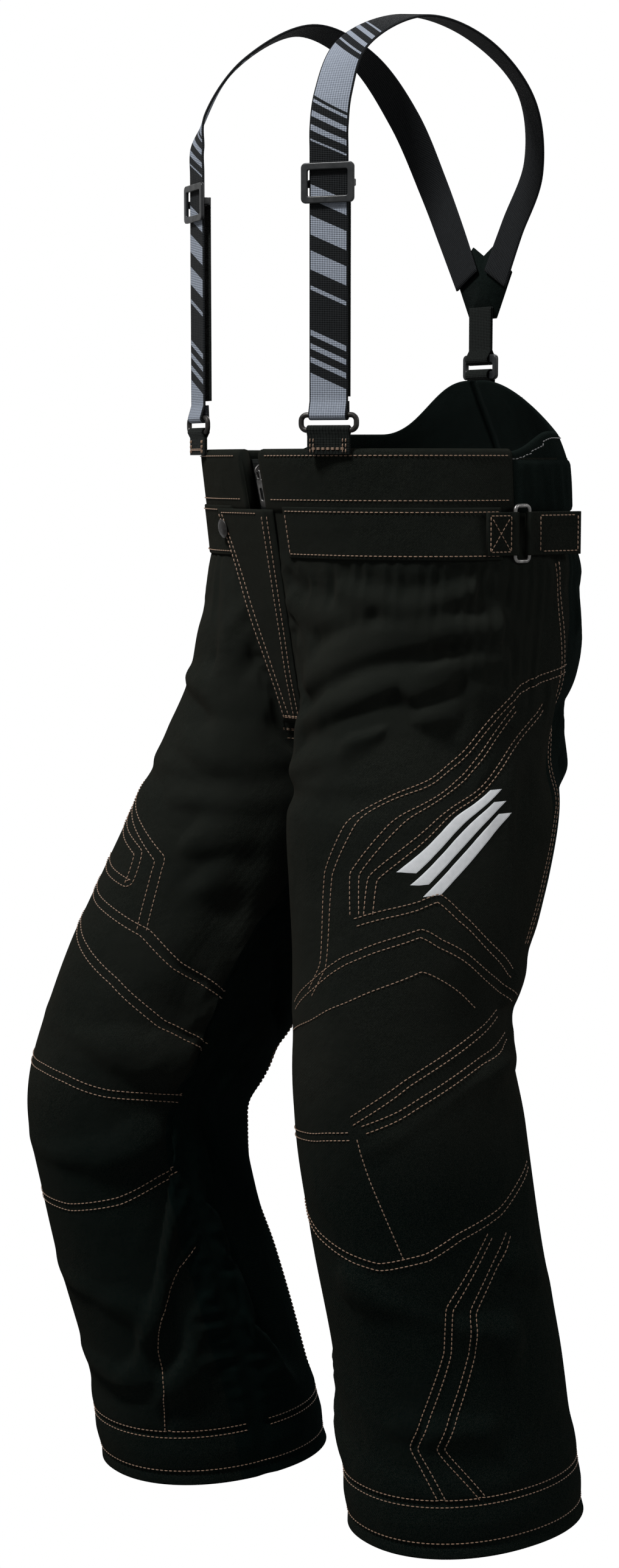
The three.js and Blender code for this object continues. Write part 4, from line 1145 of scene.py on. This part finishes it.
def plate(name, outline, holes, thickness, bevel, axes, origin, material):
    """A flat plate with bevelled edges; outline and holes are (width, height, radius, x, z)."""
    curve = bpy.data.curves.new(name, "CURVE")
    curve.dimensions = "2D"
    curve.fill_mode = "BOTH"
    curve.extrude = (thickness / 2 - bevel) / 1000
    curve.bevel_depth = bevel / 1000
    curve.bevel_resolution = 3
    for width, height, radius, x0, z0 in [outline] + holes:
        inset = bevel if (width, height, radius, x0, z0) == outline else -bevel
        ring = rounded_rectangle(width - 2 * inset, height - 2 * inset, max(radius - inset, 0.15), 8)
        spline = curve.splines.new("POLY")
        spline.points.add(len(ring) - 1)
        for point, (x, z, _, _) in zip(spline.points, ring):
            point.co = ((x0 + x) / 1000, (z0 + z) / 1000, 0, 1)
        spline.use_cyclic_u = True
    flat = bpy.data.objects.new(name + "_outline", curve)
    bpy.context.scene.collection.objects.link(flat)
    bpy.context.view_layer.update()
    mesh = bpy.data.meshes.new_from_object(flat.evaluated_get(bpy.context.evaluated_depsgraph_get()))
    bpy.data.objects.remove(flat)
    wide, tall, facing = (np.array(v, float) for v in axes)
    co = np.empty(len(mesh.vertices) * 3)
    mesh.vertices.foreach_get("co", co)
    co = co.reshape(-1, 3)
    moved = co[:, :1] * wide + co[:, 1:2] * tall + co[:, 2:] * facing + place(origin)
    mesh.vertices.foreach_set("co", moved.ravel())
    mesh.materials.clear()
    mesh.materials.append(MATERIALS[material])
    mesh.update()
    obj = bpy.data.objects.new(name, mesh)
    bpy.context.scene.collection.objects.link(obj)
    fix_normals(obj)
    mesh.shade_smooth()
    mesh.set_sharp_from_angle(angle=math.radians(40))
    return obj


def join(name, *objs):
    """Several objects as one mesh, keeping their places and materials."""
    for o in bpy.context.selected_objects:
        o.select_set(False)
    for o in objs:
        o.select_set(True)
    bpy.context.view_layer.objects.active = objs[0]
    bpy.ops.object.join()
    objs[0].name = name
    return objs[0]


def ribbon(name, path, outs, width, thickness, material, body, slot, replaced):
    """A flat woven band along a dense path, with rounded edges and UVs (across, metres along)."""
    tangent = unit(np.gradient(path, axis=0))
    across = unit(np.cross(tangent, outs))
    normal = np.cross(across, tangent)
    loop = rounded_section(width, thickness)
    sections = path[:, None] + loop[None, :, :1] * across[:, None] + loop[None, :, 1:] * normal[:, None]
    obj = sweep(name, sections, material)
    length = np.concatenate([[0], np.cumsum(np.linalg.norm(np.diff(path, axis=0), axis=1))]) / 1000
    add_uvs(obj, len(loop), loop[:, 0] / width + 0.5, length)
    declare(obj, body, slot, replaced)
    return obj


def eye_path(bar, radius, leg_direction, out, leg, gap):
    """A strip doubled round a bar: up one face, round the bar and down the other, gap apart."""
    d = unit(leg_direction)
    n = np.array(out, float)
    bar = np.array(bar, float)
    points, outs = [], []
    for s in np.linspace(leg, radius * 1.4, 14):
        points.append(bar + s * d + gap * n)
        outs.append(n)
    for a in np.linspace(0, math.pi, 13):
        radial = math.cos(a) * n - math.sin(a) * d
        points.append(bar + radius * radial)
        outs.append(radial)
    for s in np.linspace(radius * 1.4, leg, 14):
        points.append(bar + s * d - gap * n)
        outs.append(-n)
    return np.array(points), np.array(outs)


# ---------------------------------------------------------------- side waist adjusters
WAIST_RING_HALF = 6.0  # from the ring's middle to its front and rear wires
RING_WIRE = 1.4
TAB_WIDTH = 29
TAB_EYE = RING_WIRE + 0.8  # a tab's radius where it turns round the ring
TAB_THREAD = 1.35  # its stitches stand this far off the ring's middle plane


def node_centre(node):
    low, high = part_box(node)
    return np.array((low + high) / 2) * 1000 - BODY_AXIS


def build_waist_adjuster(side, thread):
    centre = node_centre(f"{side}_waist_ring")
    out = np.array([SIGN[side], 0.0, 0.0])
    wire_loop(
        f"{side}_side_ring", 2 * WAIST_RING_HALF, 37, 3, RING_WIRE, ((0, 1, 0), (0, 0, 1), out), centre,
        "bright", "trousers", "metal_dark", f"{side}_waist_ring",
    )
    front = centre + (0, -WAIST_RING_HALF, 0)
    path, outs = eye_path(front, TAB_EYE, (0, -1, 0), out, 24, 0.62)
    ribbon(
        f"{side}_ring_keeper", path, outs, TAB_WIDTH, 1.0,
        "shell_strip", "trousers", "shell_black", f"{side}_ring_tab",
    )
    face = front + TAB_THREAD * out
    a, b, c, d = face + np.array([(0, -4.5, -12), (0, -22, -12), (0, -22, 12), (0, -4.5, 12)])
    for start, end in ((a, b), (b, c), (c, d), (d, a), (a, c), (b, d)):
        thread.line(start, end, out)

    back = centre + (0, WAIST_RING_HALF, 0)
    path, outs = eye_path(back, TAB_EYE, (0, 1, 0), out, 45, 0.62)
    ribbon(
        f"{side}_hook_tab", path, outs, TAB_WIDTH, 1.0,
        "shell_strip", f"{side}_waist_tab", "shell_black_back", f"{side}_waist_tab",
    )
    tab_thread = Stitching()
    face = back + TAB_THREAD * out
    a, b, c, d = face + np.array([(0, 9, -12), (0, 9, 12), (0, 42, 12), (0, 42, -12)])
    for start, end in ((a, b), (b, c), (c, d), (d, a)):
        tab_thread.line(start, end, out)
    tab_thread.finish(f"{side}_hook_tab_stitches", f"{side}_waist_tab", slot="shell_black_back")


# ---------------------------------------------------------------- suspenders
STRAP_WIDTH = 25.0
ELASTIC_WIDTH = 27.2  # the slack elastic spreads a little
STRAP_THICKNESS = 1.8
STRAP_AT = (80.0, -108.0)  # the straight front length, on the left
STRAP_TURN = {"left": math.radians(34), "right": math.radians(13)}  # how far it faces outwards
FRONT_RING_Z = 775.0
FRONT_RING_RISE = 10.0
FRONT_WIRE = 1.8
ADJUSTER_Z = 930.0
STRAP_FOOT = FRONT_RING_Z + FRONT_RING_RISE / 2
FRONT_EYE = FRONT_WIRE + 0.9  # a strap's or tab's radius where it turns round the front ring
STRAIGHT_HEIGHTS = [STRAP_FOOT + 9, 850, 890, 925, 950, 966]
# The strap's way over the shoulder to the crossing, with x outwards, and where it faces at each point.
SHOULDER = {
    "left": [
        (79, -104, 988), (77, -88, 1020), (75, -36, 1044), (73, 22, 1034),
        (71, 66, 1000), (58, 84, 954), (35, 84, 914), (16, 84, 880),
    ],
    "right": [
        (78, -103, 988), (71, -80, 1025), (60, -30, 1053), (60, 20, 1038),
        (61, 60, 998), (54, 82, 950), (35, 84, 914), (16, 84, 880),
    ],
}
SHOULDER_OUT = [
    (0.5, -0.8, 0.3), (0.35, -0.75, 0.6), (0.15, -0.1, 1), (0.2, 0.45, 0.9),
    (0.35, 0.85, 0.5), (0.25, 1, 0.2), (0.1, 1, 0), (0, 1, 0),
]


def centripetal(controls, per_span=14):
    """The CAD's centripetal spline through controls, evenly stepped from knot to knot."""
    p = np.asarray(controls, float)
    p = np.vstack([2 * p[0] - p[1], p, 2 * p[-1] - p[-2]])
    result = []
    for a, b, c, d in zip(p[:-3], p[1:-2], p[2:-1], p[3:]):
        t0, t1, t2 = (max(np.linalg.norm(v) ** 0.5, 1e-4) for v in (b - a, c - b, d - c))
        m1 = ((b - a) / t0 - (c - a) / (t0 + t1) + (c - b) / t1) * t1
        m2 = ((c - b) / t1 - (d - b) / (t1 + t2) + (d - c) / t2) * t1
        t = np.linspace(0, 1, per_span, endpoint=False)[:, None]
        start = (2 * t**3 - 3 * t**2 + 1) * b + (t**3 - 2 * t**2 + t) * m1
        result.append(start + (3 * t**2 - 2 * t**3) * c + (t**3 - t**2) * m2)
    return np.vstack(result + [p[-2][None]])


def build_anchor(side, foot, axes):
    """The front ring and the tab that sews it to the waistband."""
    wide, up, out = axes
    ring = foot + FRONT_RING_Z * up
    wire_loop(
        f"{side}_strap_ring", STRAP_WIDTH + 14, FRONT_RING_RISE, 4, FRONT_WIRE, axes, ring,
        "snap_black", "trousers", "metal_dark", f"{side}_front_ring",
    )
    bar = ring - FRONT_RING_RISE / 2 * up
    path, outs = eye_path(bar, FRONT_EYE, (0, 0, -1), out, 16, 0.75)
    ribbon(
        f"{side}_anchor_tab", path, outs, STRAP_WIDTH + 5, 1.2,
        "webbing", "trousers", "webbing_black", f"{side}_front_tab",
    )
    thread = Stitching()
    for edge in (-1, 1):
        for inset in (2.4, 4.6):
            line = bar + edge * (STRAP_WIDTH / 2 + 2.5 - inset) * wide + 1.6 * out
            thread.line(line - 5 * up, line - 15 * up, out, 40)
    for height in (-12.6, -11.8):
        line = bar + height * up + 1.65 * out
        thread.line(line - 12 * wide, line + 12 * wide, out, 40)
    thread.finish(f"{side}_anchor_stitches", "trousers", slot="webbing_black")


def build_suspender(side):
    s = SIGN[side]
    turn = STRAP_TURN[side]
    out = np.array([s * math.sin(turn), -math.cos(turn), 0])
    wide = np.array([math.cos(turn), s * math.sin(turn), 0])
    up = np.array([0.0, 0.0, 1.0])
    axes = (wide, up, out)
    foot = np.array([s * STRAP_AT[0], STRAP_AT[1], 0])
    build_anchor(side, foot, axes)

    controls = [foot + z * up for z in STRAIGHT_HEIGHTS] + [(s * a, b, c) for a, b, c in SHOULDER[side]]
    facing = [out] * len(STRAIGHT_HEIGHTS) + [(s * a, b, c) for a, b, c in SHOULDER_OUT]
    band, band_out = centripetal(controls), centripetal(facing)
    wrap_out = np.array([math.cos(a) * out - math.sin(a) * up for a in np.linspace(math.pi, 0, 15)])
    wrap = foot + STRAP_FOOT * up + FRONT_EYE * wrap_out
    rise = np.linspace(0, 1, 8)[1:, None]
    front = wrap[-1] + rise * (band[0] - wrap[-1])
    rear = wrap[0] + rise[::-1] * (band[0] - 2.4 * out - wrap[0])
    path = np.vstack([rear, wrap, front, band[1:]])
    outs = np.vstack([np.tile(-out, (7, 1)), wrap_out, np.tile(out, (7, 1)), band_out[1:]])
    ribbon(
        f"{side}_strap_elastic", path, outs, ELASTIC_WIDTH, STRAP_THICKNESS - 0.1,
        "strap", "trousers", "strap_print", f"{side}_strap",
    )

    low, high = STRAP_FOOT + 12, ADJUSTER_Z + 3
    depth = STRAP_THICKNESS / 2 + 3.8
    straight = foot - depth * out + np.linspace(low, high, 60)[:, None] * up
    returned = ribbon(
        f"{side}_strap_return_layer", straight, np.tile(out, (60, 1)), ELASTIC_WIDTH, 1.5,
        "webbing", "trousers", "webbing_black", f"{side}_strap_return",
    )
    place(foot + (0, 0, low))
    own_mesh(returned)

    origin = foot + ADJUSTER_Z * up
    window = (STRAP_WIDTH + 3, 17, 1.2, 0, 0)
    slide = join(
        f"{side}_strap_slide",
        plate("adjuster_frame", (37, 26, 3.2, 0, 0), [window], 2.4, 0.7, axes, origin + 2.5 * out, "plastic"),
        plate("adjuster_bar", (34, 5.2, 1.6, 0, 0), [], 2.2, 0.7, axes, origin - 2.4 * out, "plastic"),
        plate("adjuster_post_-1", (3.4, 5.2, 1.2, -16.2, 0), [], 5.6, 0.5, axes, origin, "plastic"),
        plate("adjuster_post_1", (3.4, 5.2, 1.2, 16.2, 0), [], 5.6, 0.5, axes, origin, "plastic"),
    )
    declare(slide, f"{side}_adjuster", "plastic_black", f"{side}_adjuster")


def build_back_ring():
    centre = node_centre("back_ring")
    axes = ((1, 0, 0), (0, 0, 1), (0, 1, 0))
    slot = (30, 6, 1.4, 0, 0)
    ring = plate("back_slot_ring", (38, 18, 3.4, 0, 0), [slot], 3.2, 0.9, axes, centre, "plastic")
    declare(ring, "trousers", "plastic_black", "back_ring")
    lean = np.array([0, YOKE_LEAN, -1.0]) / math.hypot(1, YOKE_LEAN)
    lean_out = np.array([0, 1.0, YOKE_LEAN]) / math.hypot(1, YOKE_LEAN)
    for name, bar, direction, out, leg, node in (
        ("back_ring_tab", (0, 0, -6), lean, lean_out, 20, "back_tab"),
        ("back_single_strap", (0, 0, 6), (0, 0, 1), (0, 1, 0), 37, "back_strap"),
    ):
        path, outs = eye_path(centre + bar, 4.2, direction, out, leg, 0.75)
        ribbon(name, path, outs, STRAP_WIDTH, 0.9, "webbing", "trousers", "webbing_black", node)


CROSSING_Z = 878.0
CROSSING_OUTLINE = [(-15, 852), (15, 852), (32, 884), (12, 904), (0, 897), (-12, 904), (-32, 884)]
# The patch's layers from front to back: share of its full size, and y.
CROSSING_LAYERS = [
    (0.0, 86.2), (1.0, 86.2), (1.0, 86.9), (0.985, 87.6),
    (0.94, 88.0), (0.86, 87.7), (0.8, 87.9), (0.0, 88.1),
]


def build_crossing():
    """The patch where the two straps meet: a sewn plate with a folded rim."""
    ring = []
    for start, end in zip(CROSSING_OUTLINE, CROSSING_OUTLINE[1:] + CROSSING_OUTLINE[:1]):
        ring += np.linspace(start, end, 10, endpoint=False).tolist()

    def layer(size, y, points):
        return [(size * x, y, CROSSING_Z + size * (z - CROSSING_Z)) for x, z in points]

    sections = [layer(size, y, ring) for size, y in CROSSING_LAYERS]
    obj = sweep("crossing_plate", sections, "webbing_plain", closed_ends=False)
    declare(obj, "trousers", "webbing_black", "crossing_patch")
    thread = Stitching()
    rim = np.array(layer(0.83, 88.1, ring + ring[:1]))
    thread.row(rim, np.tile((0.0, 1.0, 0.0), (len(rim), 1)))
    thread.finish("crossing_stitches", "trousers", "dark_thread", "webbing_black")


# ---------------------------------------------------------------- fly
FLAP_Z = (567.0, 717.0)
FLAP_THICKNESS = 2.0
FLAP_STAND = (0.6, 3.6)  # gap behind the flap at its sewn edge, and over the zip
ZIP_DEPTH = 8.6  # the zip's tapes, behind the front edge
TAPE_MIDDLE = ZIP_DEPTH + 0.4
TOOTH_DEPTH = 2.4
THREAD_STAND = 0.15
FRONTWARDS = (0.0, -1.0, 0.0)


def flap_share(z):
    return (z - FLAP_Z[0]) / (FLAP_Z[1] - FLAP_Z[0])


def flap_point(t, z, lift):
    """A point of the flap: t runs from the sewn edge to the free one, lift is off its rear face."""
    h = flap_share(z)
    sewn = 12 + 7 * h
    free = -8 - 44 * h**1.6
    x = sewn + t * (free - sewn)
    stand = FLAP_STAND[0] + (FLAP_STAND[1] - FLAP_STAND[0]) * smoothstep(sewn - x, 0, 9)
    return np.stack([x, surface_y(x, z) - stand - lift, z + 0 * x], -1)


def build_flap():
    rows, columns = 70, 44
    t, z = np.meshgrid(np.linspace(0, 1, columns), np.linspace(*FLAP_Z, rows))
    rim = np.minimum(np.minimum(t, 1 - t) * 60, np.minimum(z - FLAP_Z[0], FLAP_Z[1] - z))
    pinch = 0.75 * np.exp(-rim / 1.4)
    pucker = 0.25 * np.sin(z / 2.6) * np.exp(-(((1 - t) * 60 - 4) / 3) ** 2)
    front = flap_point(t, z, FLAP_THICKNESS - pinch + pucker)
    obj = closed_sheet("fly_cover", front, flap_point(t, z, pinch), "shell")
    declare(obj, "fly_flap", "shell_black", "fly_flap")

    thread = Stitching()

    def sew(t, z):
        path = flap_point(t, z, FLAP_THICKNESS + THREAD_STAND)
        thread.row(path, np.tile(FRONTWARDS, (len(path), 1)))

    z = np.linspace(FLAP_Z[0] + 3, FLAP_Z[1] - 2, 160)
    width = 20 + 51 * flap_share(z)
    for sewn, free in ((4.5, 2.5), (8.5, 7.5)):  # the rows' distances from the two edges
        sew(sewn / width, z)
        sew(1 - free / width, z)
    for height in (FLAP_Z[0] + 4, FLAP_Z[0] + 5, FLAP_Z[1] - 3):
        sew(np.linspace(0.22, 0.94, 40), np.full(40, height))
    thread.finish("fly_cover_stitches", "fly_flap")


STAY_HALF = 17
STAY_Z = (529, 584)
BARTACK = (-12, 14)  # from and to, in x
BARTACK_Z = (553, 563)


def build_fly_stay(thread):
    """The doubled cloth that closes the fly below the flap, with its two bartacks."""
    x, z = np.meshgrid(np.linspace(-STAY_HALF, STAY_HALF, 16), np.linspace(*STAY_Z, 24))
    outer = np.stack([x, surface_y(x, z) + 0.6, z], -1)
    obj = closed_sheet("fly_stay", outer, outer + np.array([0, 1.6, 0]), "shell", flip=False)
    declare(obj, "trousers", "shell_black")

    def sew(x, z):
        thread.row(np.stack([x, surface_y(x, z) - 0.5, z], -1), np.tile(FRONTWARDS, (40, 1)))

    x = np.linspace(*BARTACK, 40)
    for height in (561.5, 560.5, 554.5):
        sew(x, height - 1.5 * x / 14)
    for end in BARTACK:
        sew(np.full(40, float(end)), np.linspace(*BARTACK_Z, 40))


def fly_frame():
    """Origin, up and outward directions of the zip's line, and its length."""
    top, foot = (float(surface_y(FLY_HALF_GAP, z)) for z in (WAIST_Z, FLY_FOOT_Z))
    up = np.array([0, top - foot, WAIST_Z - FLY_FOOT_Z])
    length = np.linalg.norm(up)
    up /= length
    return np.array([0, top, WAIST_Z]), up, np.array([0, -up[2], up[1]]), length


TOOTH_PITCH = 2.7
TOOTH_OUTLINE = [(-0.9, -0.6), (-0.4, -1.1), (2.3, -0.9), (2.5, 0), (2.3, 0.9), (-0.4, 1.1), (-0.9, 0.6)]


def build_chain(spot, length):
    """The teeth, alternately from the left and the right."""
    points, faces = [], []
    n = len(TOOTH_OUTLINE)
    for i, z in enumerate(np.arange(-length + 13, -5, TOOTH_PITCH)):
        s = 1 if i % 2 else -1
        base = len(points)
        for depth in (-TOOTH_DEPTH / 2, TOOTH_DEPTH / 2):
            points += [spot(s * x, TAPE_MIDDLE + depth, z + dz) for x, dz in TOOTH_OUTLINE]
        faces += [tuple(base + k for k in range(n)), tuple(base + n + k for k in reversed(range(n)))]
        faces += [(base + k, base + (k + 1) % n, base + n + (k + 1) % n, base + n + k) for k in range(n)]
    teeth = new_object("zip_chain", place(points), faces, "plastic", smooth=False)
    fix_normals(teeth)
    declare(teeth, "trousers", "plastic_black", "zip_teeth")


def build_zip():
    origin, up, out, length = fly_frame()
    x_axis = np.array([1.0, 0, 0])
    axes = (x_axis, up, out)

    def spot(x, depth, z):
        return origin + x * x_axis - depth * out + z * up

    for side in SIGN:
        path = np.array([spot(SIGN[side] * 11.3, TAPE_MIDDLE, z) for z in np.linspace(-length + 8, -3, 60)])
        ribbon(
            f"{side}_zip_tape", path, np.tile(out, (60, 1)), 17, 0.7,
            "webbing", "trousers", "webbing_black", f"zip_tape_{side}",
        )
    build_chain(spot, length)
    zip_front = TAPE_MIDDLE - TOOTH_DEPTH / 2
    stop_at = spot(0, zip_front + 0.1, -length + 9.8)
    stop = plate("zip_stop", (10, 3.6, 1.0, 0, 0), [], 1.6, 0.4, axes, stop_at, "metal")
    declare(stop, "trousers", "metal_dark", "zip_bottom_stop")

    def slider_spot(depth, z):
        return spot(0, zip_front - 0.3 + depth, -14 + z)

    crown_at, lip_at = slider_spot(-0.9, 0), slider_spot(-0.1, 0)
    crown = plate("slider_crown", (10.2, 16, 3.6, 0, 0), [], 1.8, 0.6, axes, crown_at, "metal")
    lips = [
        plate(f"slider_lip_{e}", (1.9, 14, 0.6, 4.1 * e, 0), [], 1.8, 0.3, axes, lip_at, "metal")
        for e in (-1, 1)
    ]
    arch = []
    for a in np.linspace(0, math.pi, 19):
        centre = slider_spot(-1.2 - 4.4 * math.sin(a), 4.0 + 3.4 * math.cos(a))
        arch.append(wire_ring(centre, math.cos(a) * up + math.sin(a) * out, x_axis, 0.6, 0.9, 12))
    slider = join("zip_slider_body", crown, sweep("slider_bail", arch, "metal"), *lips)
    declare(slider, "zip_slider", "metal_dark", "zip_slider")

    slot, hole = (3.2, 9, 1.5, 0, -1), (2.8, 4.6, 1.2, 0, 0)
    tongue_at, eye_at = slider_spot(-3.4, -11.5), slider_spot(-3.4, 0.9)
    pull = join(
        "zip_pull_tab",
        plate("pull_tongue", (7, 20.6, 2.6, 0, 0), [slot], 1.4, 0.45, axes, tongue_at, "bright"),
        plate("pull_eye", (5.8, 7.6, 2.2, 0, 0), [hole], 1.4, 0.4, axes, eye_at, "bright"),
    )
    declare(pull, "zip_pull", "metal_dark", "zip_pull")


def lathe(name, profile, centre, axis, material, body, replaced):
    """A turned piece: profile points are (radius, height out along the axis)."""
    axis = unit(axis)
    a = unit(np.cross(axis, (0, 0, 1)))
    b = np.cross(axis, a)
    sections = [wire_ring(centre + h * axis, a, b, r, r, 48) for r, h in profile]
    declare(sweep(name, sections, material), body, "metal_dark", replaced)


SNAP_X, SNAP_Z = -42.0, 704.0
# Turned profiles: radius, height above the cloth.
STUD = [(0.2, 0.7), (4.5, 0.7), (4.6, 0.9), (4.3, 1.2), (1.9, 1.25), (1.7, 1.6), (1.2, 1.85), (0.2, 1.9)]
SOCKET = [(2.2, 2.9), (2.2, 2.3), (5.1, 2.2), (5.4, 2.5), (5.2, 3.0), (2.2, 3.0)]
CAP = [
    (0.2, 6.2), (6.4, 6.2), (6.8, 6.5), (6.75, 6.9), (6.3, 7.3), (5.9, 7.25),
    (5.6, 7.4), (4.6, 8.0), (3.2, 8.4), (1.6, 8.6), (0.2, 8.62),
]


def build_snap():
    centre = np.array([SNAP_X, float(surface_y(SNAP_X, SNAP_Z)), SNAP_Z])

    def field_at(point):
        return field(point[0], point[1], sections_at(point[2]))

    axis = [field_at(centre + step) - field_at(centre - step) for step in np.eye(3) / 2]
    lathe("snap_stud_turned", STUD, centre, axis, "metal", "trousers", "snap_stud")
    lathe("snap_socket_turned", SOCKET, centre, axis, "metal", "fly_flap", "snap_socket")
    lathe("snap_cap_turned", CAP, centre, axis, "snap_black", "fly_flap", "snap_cap")


# ---------------------------------------------------------------- thigh panel's plain bars
def build_reflective_bars(half):
    """Three plain slanted bars in place of the photo's mark, at a place found like the seams'."""
    for i, (start, low) in enumerate([(0.018, 482), (0.052, 474), (0.086, 466)]):
        rows, columns = 26, 12
        t, s = np.meshgrid(np.linspace(0, 1, columns), np.linspace(0, 1, rows))
        z = low + 54 * s
        u = 0.363 + start + 0.024 * t + 0.00217 * (z - 487)
        rim = np.minimum(np.minimum(t, 1 - t) * 18, np.minimum(s, 1 - s) * 44)
        points, _ = at(half, u, z, 0.35 - 0.25 * np.exp(-rim / 0.8))
        faces = grid_faces(rows, columns)
        obj = new_object(f"reflective_bar_{i + 1}", place(points.reshape(-1, 3)), faces, "film")
        declare(obj, "trousers", "shell_black")


def build_all():
    add_camera()
    add_studio()
    for side in SIGN:
        half = build_shell(side)
        build_lining(side)
        build_knee_pad(side)
        thread = sew_seams(side, half)
        sew_waist(side, thread)
        build_belt(side, thread)
        build_waist_adjuster(side, thread)
        if side == "left":
            build_fly_stay(thread)
        thread.finish(f"{side}_stitching", "trousers")
        build_suspender(side)
        if side == "left":
            build_reflective_bars(half)
    build_waistband()
    build_yoke()
    build_back_ring()
    build_crossing()
    build_flap()
    build_zip()
    build_snap()


build_all()
